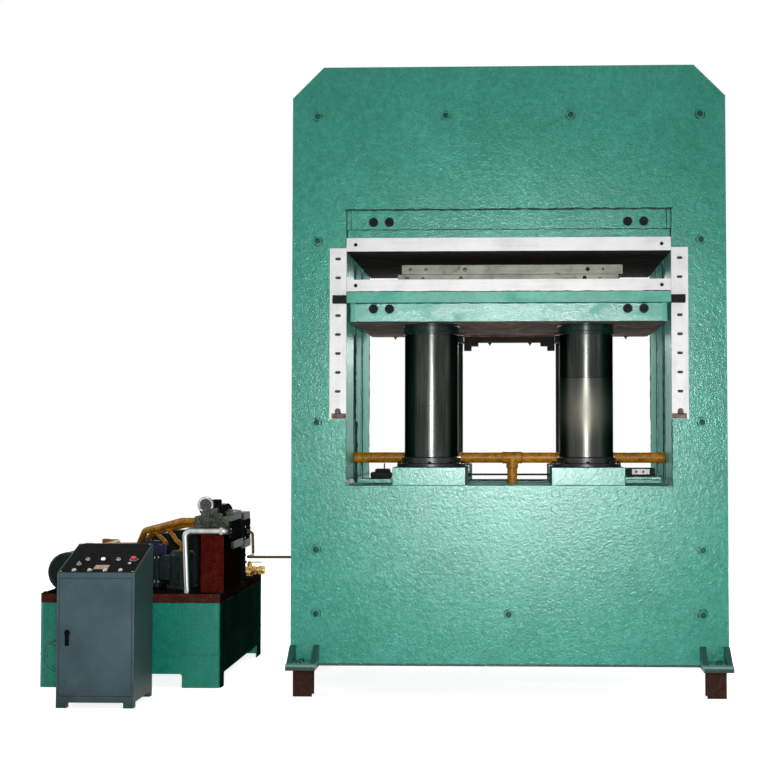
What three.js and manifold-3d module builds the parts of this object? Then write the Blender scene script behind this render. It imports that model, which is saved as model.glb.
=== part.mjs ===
// Frame-type rubber vulcanizing press with its hydraulic power unit and its control cabinet.
// Millimetres, +Z up. The operator stands on the -Y side and +X is to the operator's right.
// The press is laid out from floor level, midway across, on the front face of its frame. At the
// end the whole machine is moved so that its origin is the centre of its footprint on the floor.

import * as THREE from 'three';
import { mergeVertices } from 'three/addons/utils/BufferGeometryUtils.js';
import Module from 'manifold-3d';

const wasm = await Module();
wasm.setup();

// General fits
const seatGap = 0.3; // between a piece and what it stands on or is bolted to
const runningGap = 0.5; // between a turning or sliding piece and its guide
const overrun = 5; // how far a cutting body runs past the face that it cuts
const bite = 2; // how far two lumps of one piece run into each other

// Press frame: three packs of window plates
const footHeight = 178;
const frameWidth = 2520;
const frameHeight = 3480;
const cornerChamfer = 182;
const windowWidth = 1884;
const windowHeight = 1600;
const sillHeight = 1036; // frame's lower edge to the sill of the window
const windowCornerRadius = 30;
const plateThickness = 100;
const outerPackPlates = 4;
const middlePackPlates = 3;
const packGap = 130;
const seamDepth = 5;
const seamWidth = 7;

// Tie bolts that clamp the packs together
const tieBoltAcross = 46;
const tieBoltHead = 16;
const tieSleeveRadius = 45;
const tieSleeveSides = 8;
const tieEdgeDistance = 148;
const tieTopDistance = 292;
const tieInnerOffset = 364;
const tieSideHeights = [299, 667, 1402, 2457]; // above the frame's lower edge
const cylinderBoltOffset = 190; // either side of a ram's axis
const cylinderBoltDepths = [46, 134]; // below the sill

// Brackets at the frame's lower corners, and the feet under it
const bracketWidth = 168;
const bracketReach = 200;
const bracketThickness = 34;
const bracketRibHeight = 84;
const bracketRibThickness = 32;
const bracketRibReach = 160;
const footWidth = 110;
const footFlange = 14;
const footWeb = 12;
const footInset = 15; // frame's side to the foot's side

// Fixed upper beam and heated platens
const platenSideGap = 7; // platen's end to the window's wall
const platenOverhang = 60; // past the frame's front and rear faces
const beamSideGap = 23; // beam's end to the window's wall
const upperBeamHeight = 114;
const upperPlateHeight = 54;
const upperPlatenHeight = 79;
const lowerPlatenHeight = 69;

// Moving table
const restOpening = 58.2; // upper mould half to the upper platen, as the table stands at rest
const tableSideGap = 23; // moving beam's end to the window's wall
const movingBeamHeight = 107;
const movingBeamOverhang = 20;
const movingBeamChamfer = 30;
const tablePlateHeight = 64;
const rearBarDepth = 90;
const rearBarDrops = [42, 66, 96]; // depth of the bar's middle, its shoulders and its ends
const rearBarHalfWidths = [206, 252, 300]; // where each of these stops

// Mould halves on the lower platen
const mouldHalfWidth = 650;
const mouldFront = 120;
const mouldDepth = 1120;
const lowerMouldHeight = 48;
const upperMouldHeight = 56;
const lowerMouldShift = -2;
const upperMouldShift = 21;

// Rams and cylinders, two by two
const ramRadius = 160;
const ramSpacingX = 922;
const ramSpacingY = 800;
const ramEngagement = 219; // ram below the top of its cylinder head at rest
const ramChamfer = 12;
const headWidth = 424;
const headDepth = 560;
const headHeight = 105;
const barrelRadius = 200;
const barrelBore = 171;
const barrelDepth = 844; // below the sill
const barrelFloor = 60;
const barrelClearance = 3;
const glandFlangeRadius = 205;
const glandFlangeHeight = 18;
const glandCollarRadius = 176;
const glandCollarHeight = 40;
const glandLand = 100; // length of the guide bore under the head's top
const portBossRadius = 22;
const portHeight = 731;
const ramSides = 24;

// Guide rails on the frame's faces and the shoes that run on them
const railInset = 4; // rail's inner edge past the platen's end
const railWidth = 97;
const railThickness = 30;
const railRise = 383; // rail's lower end over the sill
const railDrop = 224; // rail's upper end under the top of the window
const slotCount = 9;
const slotPitch = 110;
const slotTopDistance = 62;
const slotLength = 34;
const slotWidth = 16;
const slotDepth = 12;
const shoeWidth = 82;
const shoeHeight = 48;
const shoeDrop = 4; // shoe's lower edge under the table plate's

// Hydraulic pipes in the press
const feedRadius = 30;
const feedRise = 155; // over the sill
const feedRear = 10; // feed pipe's back to the middle pack's face
const feedEndReach = 98; // past the window's wall
const feedCapRadius = 37;
const feedCapLength = 24;
const teeOffset = 20;
const rearFeedRadius = 20;
const lineRadius = 9;
const lineBend = 40;
const lineEnd = 475;
const drainRadius = 6;
const drainDepth = 541;
const drainRise = 51; // over the sill
const pipeSides = 10;
const hexSides = 6;
const roundSteps = 2; // steps in a curve of an outline
const bendSteps = 3;

// Power unit: oil tank
const tankCentre = -2264;
const tankFront = 271;
const tankWidth = 1096;
const tankDepth = 1437;
const tankFloorHeight = 82;
const tankTop = 503;
const tankWall = 6;
const tankCornerRadius = 34;
const tankLegWidth = 234;
const tankFrontLegDepth = 100;
const tankRearLegDepth = 200;
const lidHeight = 54;
const lidWall = 8;
const coverRadius = 92;
const coverThickness = 10;
const coverInset = 127; // its centre from the tank's left side
const coverHeight = 186;
const coverHoleRadius = 70;
const coverBoltCount = 6;
const coverBoltRadius = 7;
const coverBoltInset = 14;

// Power unit: two motors, coupling and pumps
const motorSide = -404;
const motorFront = 59;
const secondSide = -423;
const secondFront = 614;
const motorLength = 310;
const motorRadius = 108;
const motorAxisHeight = 122; // over the lid
const motorFootWidth = 190;
const motorFootDepth = 150;
const motorFootRise = 8; // how far the feet reach up over the body's lowest line
const motorBellRadius = 84;
const motorBellLength = 34;
const cowlRadius = 118;
const cowlLength = 70;
const cowlRounding = 16;
const finCount = 5;
const finThickness = 6;
const finTip = 116;
const terminalBox = [46, 96, 88]; // reach past the body, length along the motor, height
const shaftRadius = 16;
const shaftDepth = 30; // how far the drive shaft goes into motor and pump
const shaftRun = 90; // between motor and pump
const shaftClearance = 0.08;
const couplingRadius = 40;
const couplingLength = 70;
const couplingNeck = 36;
const couplingGroove = 5;
const pumpRadius = 74;
const pumpFlangeRadius = 90;
const pumpFlangeLength = 26;
const pumpLength = 120;
const pumpFootWidth = 150;
const pumpPortRadius = 30;
const pumpPortHeight = 26;
const turnedSides = 18;

// Power unit: upright motor and filter
const uprightPlace = [236, 334];
const uprightRadius = 77;
const uprightHeight = 232;
const uprightFlangeRadius = 92;
const uprightFlangeHeight = 18;
const uprightCapHeight = 34;
const filterPlace = [58, 434];
const filterRadius = 22;
const filterHeight = 228;
const filterCapRadius = 14;
const filterCapHeight = 12;
const filterBaseRadius = 30;
const filterBaseHeight = 24;

// Power unit: valve stand, manifold, valves and gauge
const standSide = 404;
const standWidth = 140;
const standFront = 89;
const standDepth = 560;
const standHeight = 348;
const standWall = 8;
const manifoldSide = 364;
const manifoldFront = 89;
const manifoldWidth = 210;
const manifoldDepth = 340;
const manifoldHeight = 110;
const valveCount = 2;
const valveShift = 20; // valves set back from an even spacing
const valveLength = 120;
const valveWidth = 80;
const valveHeight = 62;
const solenoidRadius = 27;
const solenoidLength = 62;
const gaugeSide = 428;
const gaugeSetback = 44;
const gaugeRadius = 48;
const gaugeThickness = 30;
const gaugeBack = 6;
const gaugeRise = 68; // centre over the manifold
const gaugeStemRadius = 9;
const gaugeNut = 13;
const rearBlockSide = 402;
const rearBlockWidth = 143;
const rearBlockFront = 680;
const rearBlockDepth = 240;
const rearPedestalHeight = 261;
const rearPedestalInset = 20;
const rearBlockHeight = 122;
const rearValveWidth = 110;
const rearValveHeight = 66;
const rearPlugRadius = 16;
const rearPlugHeight = 18;

// Power unit: return pipe, pressure pipes and stop valve
const returnPlace = [334, 49];
const returnRadius = 15;
const returnRise = 364;
const returnReach = 215;
const returnBend = 30;
const pressureRadius = 17;
const pressureBend = 36;
const pressureHeights = [826, 988]; // low run and high run over the floor
const pressureKnees = [251, -4, -113]; // across: crest, knee, start of the rise
const pressureLift = 7; // knee over the middle of the two heights
const pressureTee = 90; // second pump's run to the tee, across
const branchRadius = 13;
const branchBend = 26;
const branchRise = 58;
const branchShares = [0.55, 0.16]; // of the slope from knee to crest, for the motor and the filter
const stopInset = 43; // its axis from the tank's right side
const stopSetback = 1190; // from the tank's front
const stopBodyRadius = 25;
const stopBodyLength = 106;
const stopNeckRadius = 14;
const stopNeckHeight = 22;
const stopFootRadius = 16;
const stopFootHeight = 14;
const stopPinRadius = 6;
const stopPinDepth = 30;
const leverLength = 84;
const leverWidth = 16;
const leverThickness = 10;
const leverHubRadius = 13;

// Supply pipe from the power unit to the press
const supplyOut = 76;
const supplyDepth = 860;

// Control cabinet
const cabinetCentre = -2281.5;
const cabinetFront = -410;
const cabinetWidth = 433;
const cabinetDepth = 420;
const cabinetFrontHeight = 743;
const cabinetRearHeight = 875;
const cabinetWall = 4;
const cabinetLegHeight = 30;
const cabinetLegTop = 58;
const cabinetLegDepth = 46;
const doorMarginSide = 15;
const doorMarginTop = 30;
const doorMarginBottom = 37;
const doorThickness = 14;
const doorSheet = 3;
const doorFold = 24;
const doorGap = 2;
const rebateWidth = 12;
const handleX = -157;
const handleWidth = 26;
const handleLength = 88;
const handleReach = 9;
const handleSpindleRadius = 6;
const spindleZ = 412;
const spindleShare = 0.8; // how far up the handle its spindle is
const componentPlate = [340, 4, 420]; // width, thickness, height
const componentPlateHeight = 190;
const standoffRadius = 8;
const standoffLength = 14;
const contactorCount = 3;
const contactorWidth = 96;
const contactorDepth = 86;
const contactorHeight = 110;
const contactorLevel = 60; // over the mounting plate's lower edge, as for the next two
const terminalCount = 1;
const terminalWidth = 292;
const terminalDepth = 58;
const terminalHeight = 64;
const terminalLevel = 200;
const relayCount = 2;
const relayWidth = 140;
const relayDepth = 72;
const relayHeight = 96;
const relayLevel = 316;

// Buttons on the sloping console, placed by shares of its width and of its slope
const stemDepth = 26;
const buttonCount = 4;
const buttonRadius = 10;
const buttonHeight = 8;
const buttonTravel = 4;
const buttonStem = 7;
const buttonPitchShare = 0.2;
const buttonRowShare = 0.07;
const emergencyRadius = 18;
const emergencyHeight = 14;
const emergencyTravel = 6;
const emergencyStem = 11;
const emergencyShare = 0.38;
const stopRowShare = 0.43;
const selectorRadius = 14;
const selectorHeight = 20;
const selectorFin = 7;
const selectorStem = 6;
const selectorShare = -0.29;
const selectorRowShare = 0.26;
const consoleSides = 12;

// Worked out from these
const frameBottom = footHeight;
const frameTop = frameBottom + frameHeight;
const sill = frameBottom + sillHeight;
const windowTop = sill + windowHeight;
const platenHalfWidth = windowWidth / 2 - platenSideGap;
const upperBeamHalfWidth = windowWidth / 2 - beamSideGap;
const movingBeamHalfWidth = windowWidth / 2 - tableSideGap;
const upperPlatenBottom = windowTop - seatGap - upperBeamHeight - upperPlateHeight - seatGap - upperPlatenHeight;
const mouldStack = lowerMouldHeight + seatGap + upperMouldHeight;
const tableStack = movingBeamHeight + seatGap + tablePlateHeight + seatGap + lowerPlatenHeight + seatGap + mouldStack;
const tableHeight = upperPlatenBottom - restOpening - tableStack; // underside of the moving beam at rest
const railBottom = sill + railRise;
const railTop = windowTop - railDrop;
const feedHeight = sill + feedRise;
const feedHalfLength = windowWidth / 2 + feedEndReach;
const drainHeight = sill + drainRise;
const outerPackDepth = outerPackPlates * plateThickness;
const middlePackDepth = middlePackPlates * plateThickness;
const middlePackFront = outerPackDepth + packGap;
const rearPackFront = middlePackFront + middlePackDepth + packGap;
const frameDepth = rearPackFront + outerPackDepth;
const frontRamY = (frameDepth - ramSpacingY) / 2;
const rearRamY = frontRamY + ramSpacingY;
const barrelBottom = sill - barrelDepth;
const headTop = sill + headHeight;
const ramBottom = headTop - ramEngagement;
const feedY = middlePackFront - feedRear - feedRadius;
const lineY = feedY + feedRadius - lineRadius;
const railInner = platenHalfWidth + railInset;
const coverOffset = coverInset - tankWidth / 2;
const stopPlace = [tankWidth / 2 - stopInset, stopSetback];
const lidTop = tankTop + seatGap + lidHeight;
const motorAxis = lidTop + motorAxisHeight;
const manifoldBottom = lidTop + standHeight + seatGap;
const manifoldTop = manifoldBottom + manifoldHeight - seatGap;
const consoleAngle = Math.atan2(cabinetRearHeight - cabinetFrontHeight, cabinetDepth);
const consoleLength = Math.hypot(cabinetRearHeight - cabinetFrontHeight, cabinetDepth);

// Finishes
const pressGreen = { color: 0x4f9c89, roughness: 0.55, metalness: 0 };
const tankGreen = { color: 0x2c7f6a, roughness: 0.45, metalness: 0 };
const primerRed = { color: 0x4a211c, roughness: 0.8, metalness: 0 };
const oxideRed = { color: 0x5a1714, roughness: 0.7, metalness: 0 };
const brightSteel = { color: 0xe4e3e4, roughness: 0.4, metalness: 0.3 };
const mouldSteel = { color: 0x8f958c, roughness: 0.45, metalness: 0.7 };
const polishedSteel = { color: 0xa9a8a4, roughness: 0.12, metalness: 1 };
const blackSteel = { color: 0x1b1d1c, roughness: 0.5, metalness: 0.4 };
const motorTeal = { color: 0x15302f, roughness: 0.5, metalness: 0 };
const valveGrey = { color: 0x7d8076, roughness: 0.5, metalness: 0.3 };
const pipeYellow = { color: 0xb3761a, roughness: 0.45, metalness: 0 };
const chromedSteel = { color: 0xc9c9c6, roughness: 0.15, metalness: 1 };
const castBrass = { color: 0xb08a2e, roughness: 0.4, metalness: 0.9 };
const cabinetGrey = { color: 0x4f6168, roughness: 0.55, metalness: 0 };
const darkPlastic = { color: 0x16181a, roughness: 0.45, metalness: 0 };
const whitePlastic = { color: 0xdadad4, roughness: 0.4, metalness: 0 };
const redPlastic = { color: 0xc8202a, roughness: 0.35, metalness: 0 };

// Solids: closed three.js meshes in and out of the boolean library

function toSolid(geometry) {
  const bare = geometry.clone();
  bare.deleteAttribute('normal');
  bare.deleteAttribute('uv');
  const merged = mergeVertices(bare);
  const corners = merged.index.array;
  const kept = [];
  for (let i = 0; i < corners.length; i += 3) {
    const [a, b, c] = corners.slice(i, i + 3);
    if (a !== b && b !== c && c !== a) {
      kept.push(a, b, c);
    }
  }
  const mesh = new wasm.Mesh({
    numProp: 3,
    vertProperties: new Float32Array(merged.attributes.position.array),
    triVerts: new Uint32Array(kept),
  });
  return new wasm.Manifold(mesh);
}

function toGeometry(solid) {
  const mesh = solid.getMesh();
  const geometry = new THREE.BufferGeometry();
  geometry.setAttribute('position', new THREE.BufferAttribute(mesh.vertProperties, 3));
  geometry.setIndex(new THREE.BufferAttribute(mesh.triVerts, 1));
  geometry.computeVertexNormals();
  return geometry;
}

function join(...lumps) {
  return toGeometry(lumps.flat().map(toSolid).reduce((whole, lump) => whole.add(lump)));
}

function cut(base, ...tools) {
  return toGeometry(tools.flat().map(toSolid).reduce((rest, tool) => rest.subtract(tool), toSolid(base)));
}

function overlapOf(first, second) {
  return toGeometry(toSolid(first).intersect(toSolid(second)));
}

// A span of the given length about its middle
function about(middle, length) {
  return [middle - length / 2, middle + length / 2];
}

function box([x0, x1], [y0, y1], [z0, z1]) {
  const geometry = new THREE.BoxGeometry(x1 - x0, y1 - y0, z1 - z0);
  return geometry.translate((x0 + x1) / 2, (y0 + y1) / 2, (z0 + z1) / 2);
}

// A round or many-sided bar along one axis; the place gives the other two coordinates
function bar(axis, radius, [start, end], place, sides) {
  const geometry = new THREE.CylinderGeometry(radius, radius, end - start, sides);
  geometry.translate(0, (start + end) / 2, 0);
  if (axis === 'x') {
    geometry.rotateZ(-Math.PI / 2);
  }
  if (axis === 'z') {
    geometry.rotateX(Math.PI / 2);
  }
  return geometry.translate(...place);
}

// A turned piece: radii and heights from its lower end to its upper end, about +Z
function turned(profile, sides) {
  const outline = [[0, profile[0][1]], ...profile, [0, profile.at(-1)[1]]];
  const geometry = new THREE.LatheGeometry(outline.map(([r, h]) => new THREE.Vector2(r, h)), sides);
  return geometry.rotateX(Math.PI / 2);
}

function shapeOf(points) {
  return new THREE.Shape(points.map(([a, b]) => new THREE.Vector2(a, b)));
}

function extrude(shape, depth) {
  return new THREE.ExtrudeGeometry(shape, { depth, bevelEnabled: false, curveSegments: roundSteps });
}

// Plates cut to an outline: across the machine, along it, or lying flat
function plateAcross(shape, [y0, y1]) {
  const geometry = extrude(shape, y1 - y0);
  return geometry.rotateX(Math.PI / 2).translate(0, y1, 0);
}

function plateAlong(points, [x0, x1]) {
  const geometry = extrude(shapeOf(points), x1 - x0);
  const axes = new THREE.Matrix4().makeBasis(
    new THREE.Vector3(0, 1, 0),
    new THREE.Vector3(0, 0, 1),
    new THREE.Vector3(1, 0, 0),
  );
  return geometry.applyMatrix4(axes).translate(x0, 0, 0);
}

function plateFlat(shape, [z0, z1]) {
  const geometry = extrude(shape, z1 - z0);
  return geometry.translate(0, 0, z0);
}

// Straight runs joined by bends, closed at both ends
function bentPipe(corners, radius, bendRadius, sides = pipeSides) {
  const points = corners.map((corner) => new THREE.Vector3(...corner));
  const stations = [points[0]];
  for (let i = 1; i < points.length - 1; i += 1) {
    const back = points[i - 1].clone().sub(points[i]).normalize();
    const ahead = points[i + 1].clone().sub(points[i]).normalize();
    const reach = bendRadius / Math.tan(back.angleTo(ahead) / 2);
    const bend = new THREE.QuadraticBezierCurve3(
      points[i].clone().addScaledVector(back, reach),
      points[i],
      points[i].clone().addScaledVector(ahead, reach),
    );
    stations.push(...bend.getPoints(bendSteps));
  }
  stations.push(points.at(-1));
  return sweep(stations, radius, sides);
}

// Rings of vertices carried along the stations without twist, with a fan at each end
function sweep(stations, radius, sides) {
  const tangents = stations.map((station, i) => {
    const ahead = stations[Math.min(i + 1, stations.length - 1)].clone().sub(station).normalize();
    const back = station.clone().sub(stations[Math.max(i - 1, 0)]).normalize();
    return ahead.add(back).normalize();
  });
  const up = Math.abs(tangents[0].z) < Math.SQRT1_2 ? new THREE.Vector3(0, 0, 1) : new THREE.Vector3(1, 0, 0);
  const normal = up.cross(tangents[0]).normalize();
  const positions = [];
  stations.forEach((station, i) => {
    if (i > 0) {
      normal.applyQuaternion(new THREE.Quaternion().setFromUnitVectors(tangents[i - 1], tangents[i]));
    }
    const side = tangents[i].clone().cross(normal);
    for (let k = 0; k < sides; k += 1) {
      const turn = (2 * Math.PI * k) / sides;
      const spoke = normal.clone().multiplyScalar(Math.cos(turn)).addScaledVector(side, Math.sin(turn));
      positions.push(...station.clone().addScaledVector(spoke, radius).toArray());
    }
  });
  positions.push(...stations[0].toArray(), ...stations.at(-1).toArray());
  const first = stations.length * sides;
  const indices = [];
  for (let k = 0; k < sides; k += 1) {
    const next = (k + 1) % sides;
    for (let i = 0; i < stations.length - 1; i += 1) {
      const low = i * sides;
      const high = low + sides;
      indices.push(low + k, low + next, high + next, low + k, high + next, high + k);
    }
    indices.push(first, next, k, first + 1, first - sides + k, first - sides + next);
  }
  const geometry = new THREE.BufferGeometry();
  geometry.setAttribute('position', new THREE.Float32BufferAttribute(positions, 3));
  geometry.setIndex(indices);
  return geometry;
}

// Adds one named piece to a group
function addPiece(group, name, lump, finish, place = [0, 0, 0]) {
  const mesh = new THREE.Mesh(join(lump), new THREE.MeshStandardMaterial(finish));
  mesh.name = name;
  mesh.position.set(...place);
  group.add(mesh);
  return mesh;
}

// Press frame

function frameOutline(inset) {
  const side = frameWidth / 2 - inset;
  const top = frameTop - inset;
  const bottom = frameBottom + inset;
  return shapeOf([
    [-side, bottom],
    [side, bottom],
    [side, top - cornerChamfer],
    [side - cornerChamfer, top],
    [cornerChamfer - side, top],
    [-side, top - cornerChamfer],
  ]);
}

function windowOutline(inset) {
  const side = windowWidth / 2 + inset;
  const low = sill - inset;
  const path = new THREE.Path();
  path.moveTo(-side, windowTop + inset);
  path.lineTo(-side, low + windowCornerRadius);
  path.quadraticCurveTo(-side, low, windowCornerRadius - side, low);
  path.lineTo(side - windowCornerRadius, low);
  path.quadraticCurveTo(side, low, side, low + windowCornerRadius);
  path.lineTo(side, windowTop + inset);
  path.closePath();
  return path;
}

function windowPlate(inset, span) {
  const shape = frameOutline(inset);
  shape.holes.push(windowOutline(inset));
  return plateAcross(shape, span);
}

// Plates welded edge to edge into one pack, with a groove at each seam
function framePack(plateCount, front) {
  const depth = plateCount * plateThickness;
  const core = windowPlate(seamDepth, [front + plateThickness / 2, front + depth - plateThickness / 2]);
  const plates = [];
  for (let i = 0; i < plateCount; i += 1) {
    const start = front + i * plateThickness + (i > 0 ? seamWidth / 2 : 0);
    const end = front + (i + 1) * plateThickness - (i < plateCount - 1 ? seamWidth / 2 : 0);
    plates.push(windowPlate(0, [start, end]));
  }
  return join(core, plates);
}

// Where the tie bolts pass through the frame, as seen from the front
function sleeveBoltPlaces() {
  const side = frameWidth / 2 - tieEdgeDistance;
  const top = frameTop - tieTopDistance;
  const places = [[-side, top], [-tieInnerOffset, top], [tieInnerOffset, top], [side, top]];
  for (const height of tieSideHeights) {
    places.push([-side, frameBottom + height], [side, frameBottom + height]);
  }
  places.push([0, frameBottom + tieSideHeights[0]]);
  return places;
}

function cylinderBoltPlaces() {
  const places = [];
  for (const depth of cylinderBoltDepths) {
    for (const ramX of [-ramSpacingX / 2, ramSpacingX / 2]) {
      places.push([ramX - cylinderBoltOffset, sill - depth], [ramX + cylinderBoltOffset, sill - depth]);
    }
  }
  return places;
}

function tieBoltHeads([y0, y1]) {
  const radius = tieBoltAcross / Math.sqrt(3);
  const places = [...sleeveBoltPlaces(), ...cylinderBoltPlaces()];
  return places.map(([x, z]) => bar('y', radius, [y0, y1], [x, 0, z], hexSides));
}

// Floor brackets on a pack's outer face, and the ribs that stiffen them
function cornerBrackets(face, direction) {
  const lumps = [];
  const reach = face + direction * bracketReach;
  const root = face - direction * bite;
  const span = [Math.min(root, reach), Math.max(root, reach)];
  const plateTop = frameBottom + bracketThickness;
  for (const hand of [-1, 1]) {
    const outer = hand * frameWidth / 2;
    const inner = outer - hand * bracketWidth;
    const across = [Math.min(outer, inner), Math.max(outer, inner)];
    lumps.push(box(across, span, [frameBottom, plateTop]));
    for (const ribOuter of [outer, inner + hand * bracketRibThickness]) {
      const ribInner = ribOuter - hand * bracketRibThickness;
      const outline = [
        [root, plateTop - bite],
        [face + direction * bracketRibReach, plateTop - bite],
        [face + direction * bracketRibThickness, plateTop + bracketRibHeight],
        [root, plateTop + bracketRibHeight],
      ];
      lumps.push(plateAlong(outline, [Math.min(ribOuter, ribInner), Math.max(ribOuter, ribInner)]));
    }
  }
  return lumps;
}

// Pockets that take the cylinder barrels, sunk from the sill
function barrelPockets(ramY) {
  const radius = barrelRadius + barrelClearance;
  const depth = [barrelBottom - seatGap, sill + overrun];
  return [-ramSpacingX / 2, ramSpacingX / 2].map((x) => bar('z', radius, depth, [x, ramY, 0], ramSides));
}

function frontFrame() {
  const heads = tieBoltHeads([-tieBoltHead, bite]);
  const whole = join(framePack(outerPackPlates, 0), heads, cornerBrackets(0, -1));
  return cut(whole, barrelPockets(frontRamY));
}

function rearFrame() {
  const heads = tieBoltHeads([frameDepth - bite, frameDepth + tieBoltHead]);
  const whole = join(framePack(outerPackPlates, rearPackFront), heads, cornerBrackets(frameDepth, 1));
  return cut(whole, barrelPockets(rearRamY));
}

// The middle pack carries the spacer sleeves that keep the packs apart
function middleFrame() {
  const before = [outerPackDepth + seatGap, middlePackFront + bite];
  const behind = [rearPackFront - packGap - bite, rearPackFront - seatGap];
  const sleeves = sleeveBoltPlaces().flatMap(([x, z]) => [
    bar('y', tieSleeveRadius, before, [x, 0, z], tieSleeveSides),
    bar('y', tieSleeveRadius, behind, [x, 0, z], tieSleeveSides),
  ]);
  return join(framePack(middlePackPlates, middlePackFront), sleeves);
}

// A short length of wide-flange beam, flanges to the front and the back
function foot() {
  const half = footWidth / 2;
  const web = footWeb / 2;
  const flange = half - footFlange;
  const quarter = [[half, half], [half, flange], [web, flange]];
  const outline = [
    ...quarter,
    ...quarter.map(([x, y]) => [x, -y]).reverse(),
    ...quarter.map(([x, y]) => [-x, -y]),
    ...quarter.map(([x, y]) => [-x, y]).reverse(),
  ];
  return plateFlat(shapeOf(outline), [0, footHeight - seatGap]);
}

// Upper beam and upper platen, hung from the top of the window

function upperBeam() {
  const plateBottom = windowTop - seatGap - upperBeamHeight - upperPlateHeight;
  const plateTop = plateBottom + upperPlateHeight;
  const beam = box(about(0, 2 * upperBeamHalfWidth), [0, frameDepth], [plateTop - bite, windowTop - seatGap]);
  const plate = box(about(0, 2 * platenHalfWidth), [0, frameDepth], [plateBottom, plateTop]);
  return join(beam, plate);
}

function platen(height) {
  return box(about(0, 2 * platenHalfWidth), [-platenOverhang, frameDepth + platenOverhang], [0, height]);
}

// Moving table: beam, plate, platen and mould, stacked from the beam's underside upwards

function movingBeam() {
  const side = movingBeamHalfWidth;
  const front = -movingBeamOverhang;
  const back = frameDepth;
  const chamfer = movingBeamChamfer;
  const outline = shapeOf([
    [chamfer - side, front],
    [side - chamfer, front],
    [side, front + chamfer],
    [side, back - chamfer],
    [side - chamfer, back],
    [chamfer - side, back],
    [-side, back - chamfer],
    [-side, front + chamfer],
  ]);
  const beam = plateFlat(outline, [0, movingBeamHeight]);
  const [middle, shoulder, end] = rearBarDrops;
  const [middleHalf, shoulderHalf, endHalf] = rearBarHalfWidths;
  const steps = shapeOf([
    [-endHalf, bite],
    [-endHalf, -end],
    [-shoulderHalf, -end],
    [-shoulderHalf, -shoulder],
    [-middleHalf, -shoulder],
    [-middleHalf, -middle],
    [middleHalf, -middle],
    [middleHalf, -shoulder],
    [shoulderHalf, -shoulder],
    [shoulderHalf, -end],
    [endHalf, -end],
    [endHalf, bite],
  ]);
  const barFront = rearRamY + ramRadius + runningGap;
  return join(beam, plateAcross(steps, [barFront, barFront + rearBarDepth]));
}

function mould(height, shift) {
  return box(about(shift, 2 * mouldHalfWidth), [mouldFront, mouldFront + mouldDepth], [0, height]);
}

function ram() {
  const bottom = ramBottom - tableHeight;
  const shaft = [[ramRadius - ramChamfer, bottom], [ramRadius, bottom + ramChamfer], [ramRadius, -seatGap]];
  return turned(shaft, ramSides);
}

// Shoe at the table plate's end, running on the face of its rail
function guideShoe(hand, face) {
  const inner = hand * (platenHalfWidth + seatGap);
  const outer = inner + hand * shoeWidth;
  const low = movingBeamHeight + seatGap - shoeDrop;
  const across = [Math.min(inner, outer), Math.max(inner, outer)];
  const thickness = platenOverhang - railThickness - runningGap;
  const outside = face === 0 ? -platenOverhang : frameDepth + platenOverhang;
  const inside = face === 0 ? outside + thickness : outside - thickness;
  const along = [Math.min(outside, inside), Math.max(outside, inside)];
  return box(across, along, [low, low + shoeHeight]);
}

// Guide rail with its row of slots for the fixing bolts
function guideRail(hand, face) {
  const inner = hand * railInner;
  const outer = inner + hand * railWidth;
  const across = [Math.min(inner, outer), Math.max(inner, outer)];
  const seat = face === 0 ? -seatGap : frameDepth + seatGap;
  const show = face === 0 ? -railThickness : frameDepth + railThickness;
  const rail = box(across, [Math.min(seat, show), Math.max(seat, show)], [railBottom, railTop]);
  const outward = face === 0 ? -1 : 1;
  const mouth = [show - outward * slotDepth, show + outward * overrun].sort((a, b) => a - b);
  const slots = [];
  for (let i = 0; i < slotCount; i += 1) {
    const height = railTop - slotTopDistance - i * slotPitch;
    slots.push(slot((inner + outer) / 2, height, mouth));
  }
  return cut(rail, slots);
}

function slot(x, z, span) {
  const straight = (slotLength - slotWidth) / 2;
  const radius = slotWidth / 2;
  const shape = new THREE.Shape();
  shape.absarc(x + straight, z, radius, -Math.PI / 2, Math.PI / 2, false);
  shape.absarc(x - straight, z, radius, Math.PI / 2, (3 * Math.PI) / 2, false);
  return plateAcross(shape, span);
}

// Cylinder: square head on the sill, barrel in its pocket, gland ring on top
function cylinder(ramX, ramY) {
  const atFront = ramY < frameDepth / 2;
  const headSpan = atFront ? [0, headDepth] : [frameDepth - headDepth, frameDepth];
  const place = [ramX, ramY, 0];
  const head = box(about(ramX, headWidth), headSpan, [sill + seatGap, headTop]);
  const barrel = bar('z', barrelRadius, [barrelBottom, sill + seatGap + bite], place, ramSides);
  const flange = bar('z', glandFlangeRadius, [headTop - bite, headTop + glandFlangeHeight], place, ramSides);
  const collarTop = headTop + glandFlangeHeight + glandCollarHeight;
  const collar = bar('z', glandCollarRadius, [headTop, collarTop], place, ramSides);
  const bossBack = ramY + (atFront ? barrelRadius - bite : bite - barrelRadius);
  const bossFace = atFront ? lineY - lineRadius - seatGap : supplyDepth + lineRadius + seatGap;
  const bossSpan = [Math.min(bossBack, bossFace), Math.max(bossBack, bossFace)];
  const boss = bar('y', portBossRadius, bossSpan, [ramX, 0, portHeight], pipeSides);
  const guideSpan = [headTop - glandLand - bite, collarTop + overrun];
  const guide = bar('z', ramRadius + runningGap, guideSpan, place, ramSides);
  const bore = bar('z', barrelBore, [barrelBottom + barrelFloor, headTop - glandLand], place, ramSides);
  return cut(join(head, barrel, flange, collar, boss), guide, bore);
}

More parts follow.
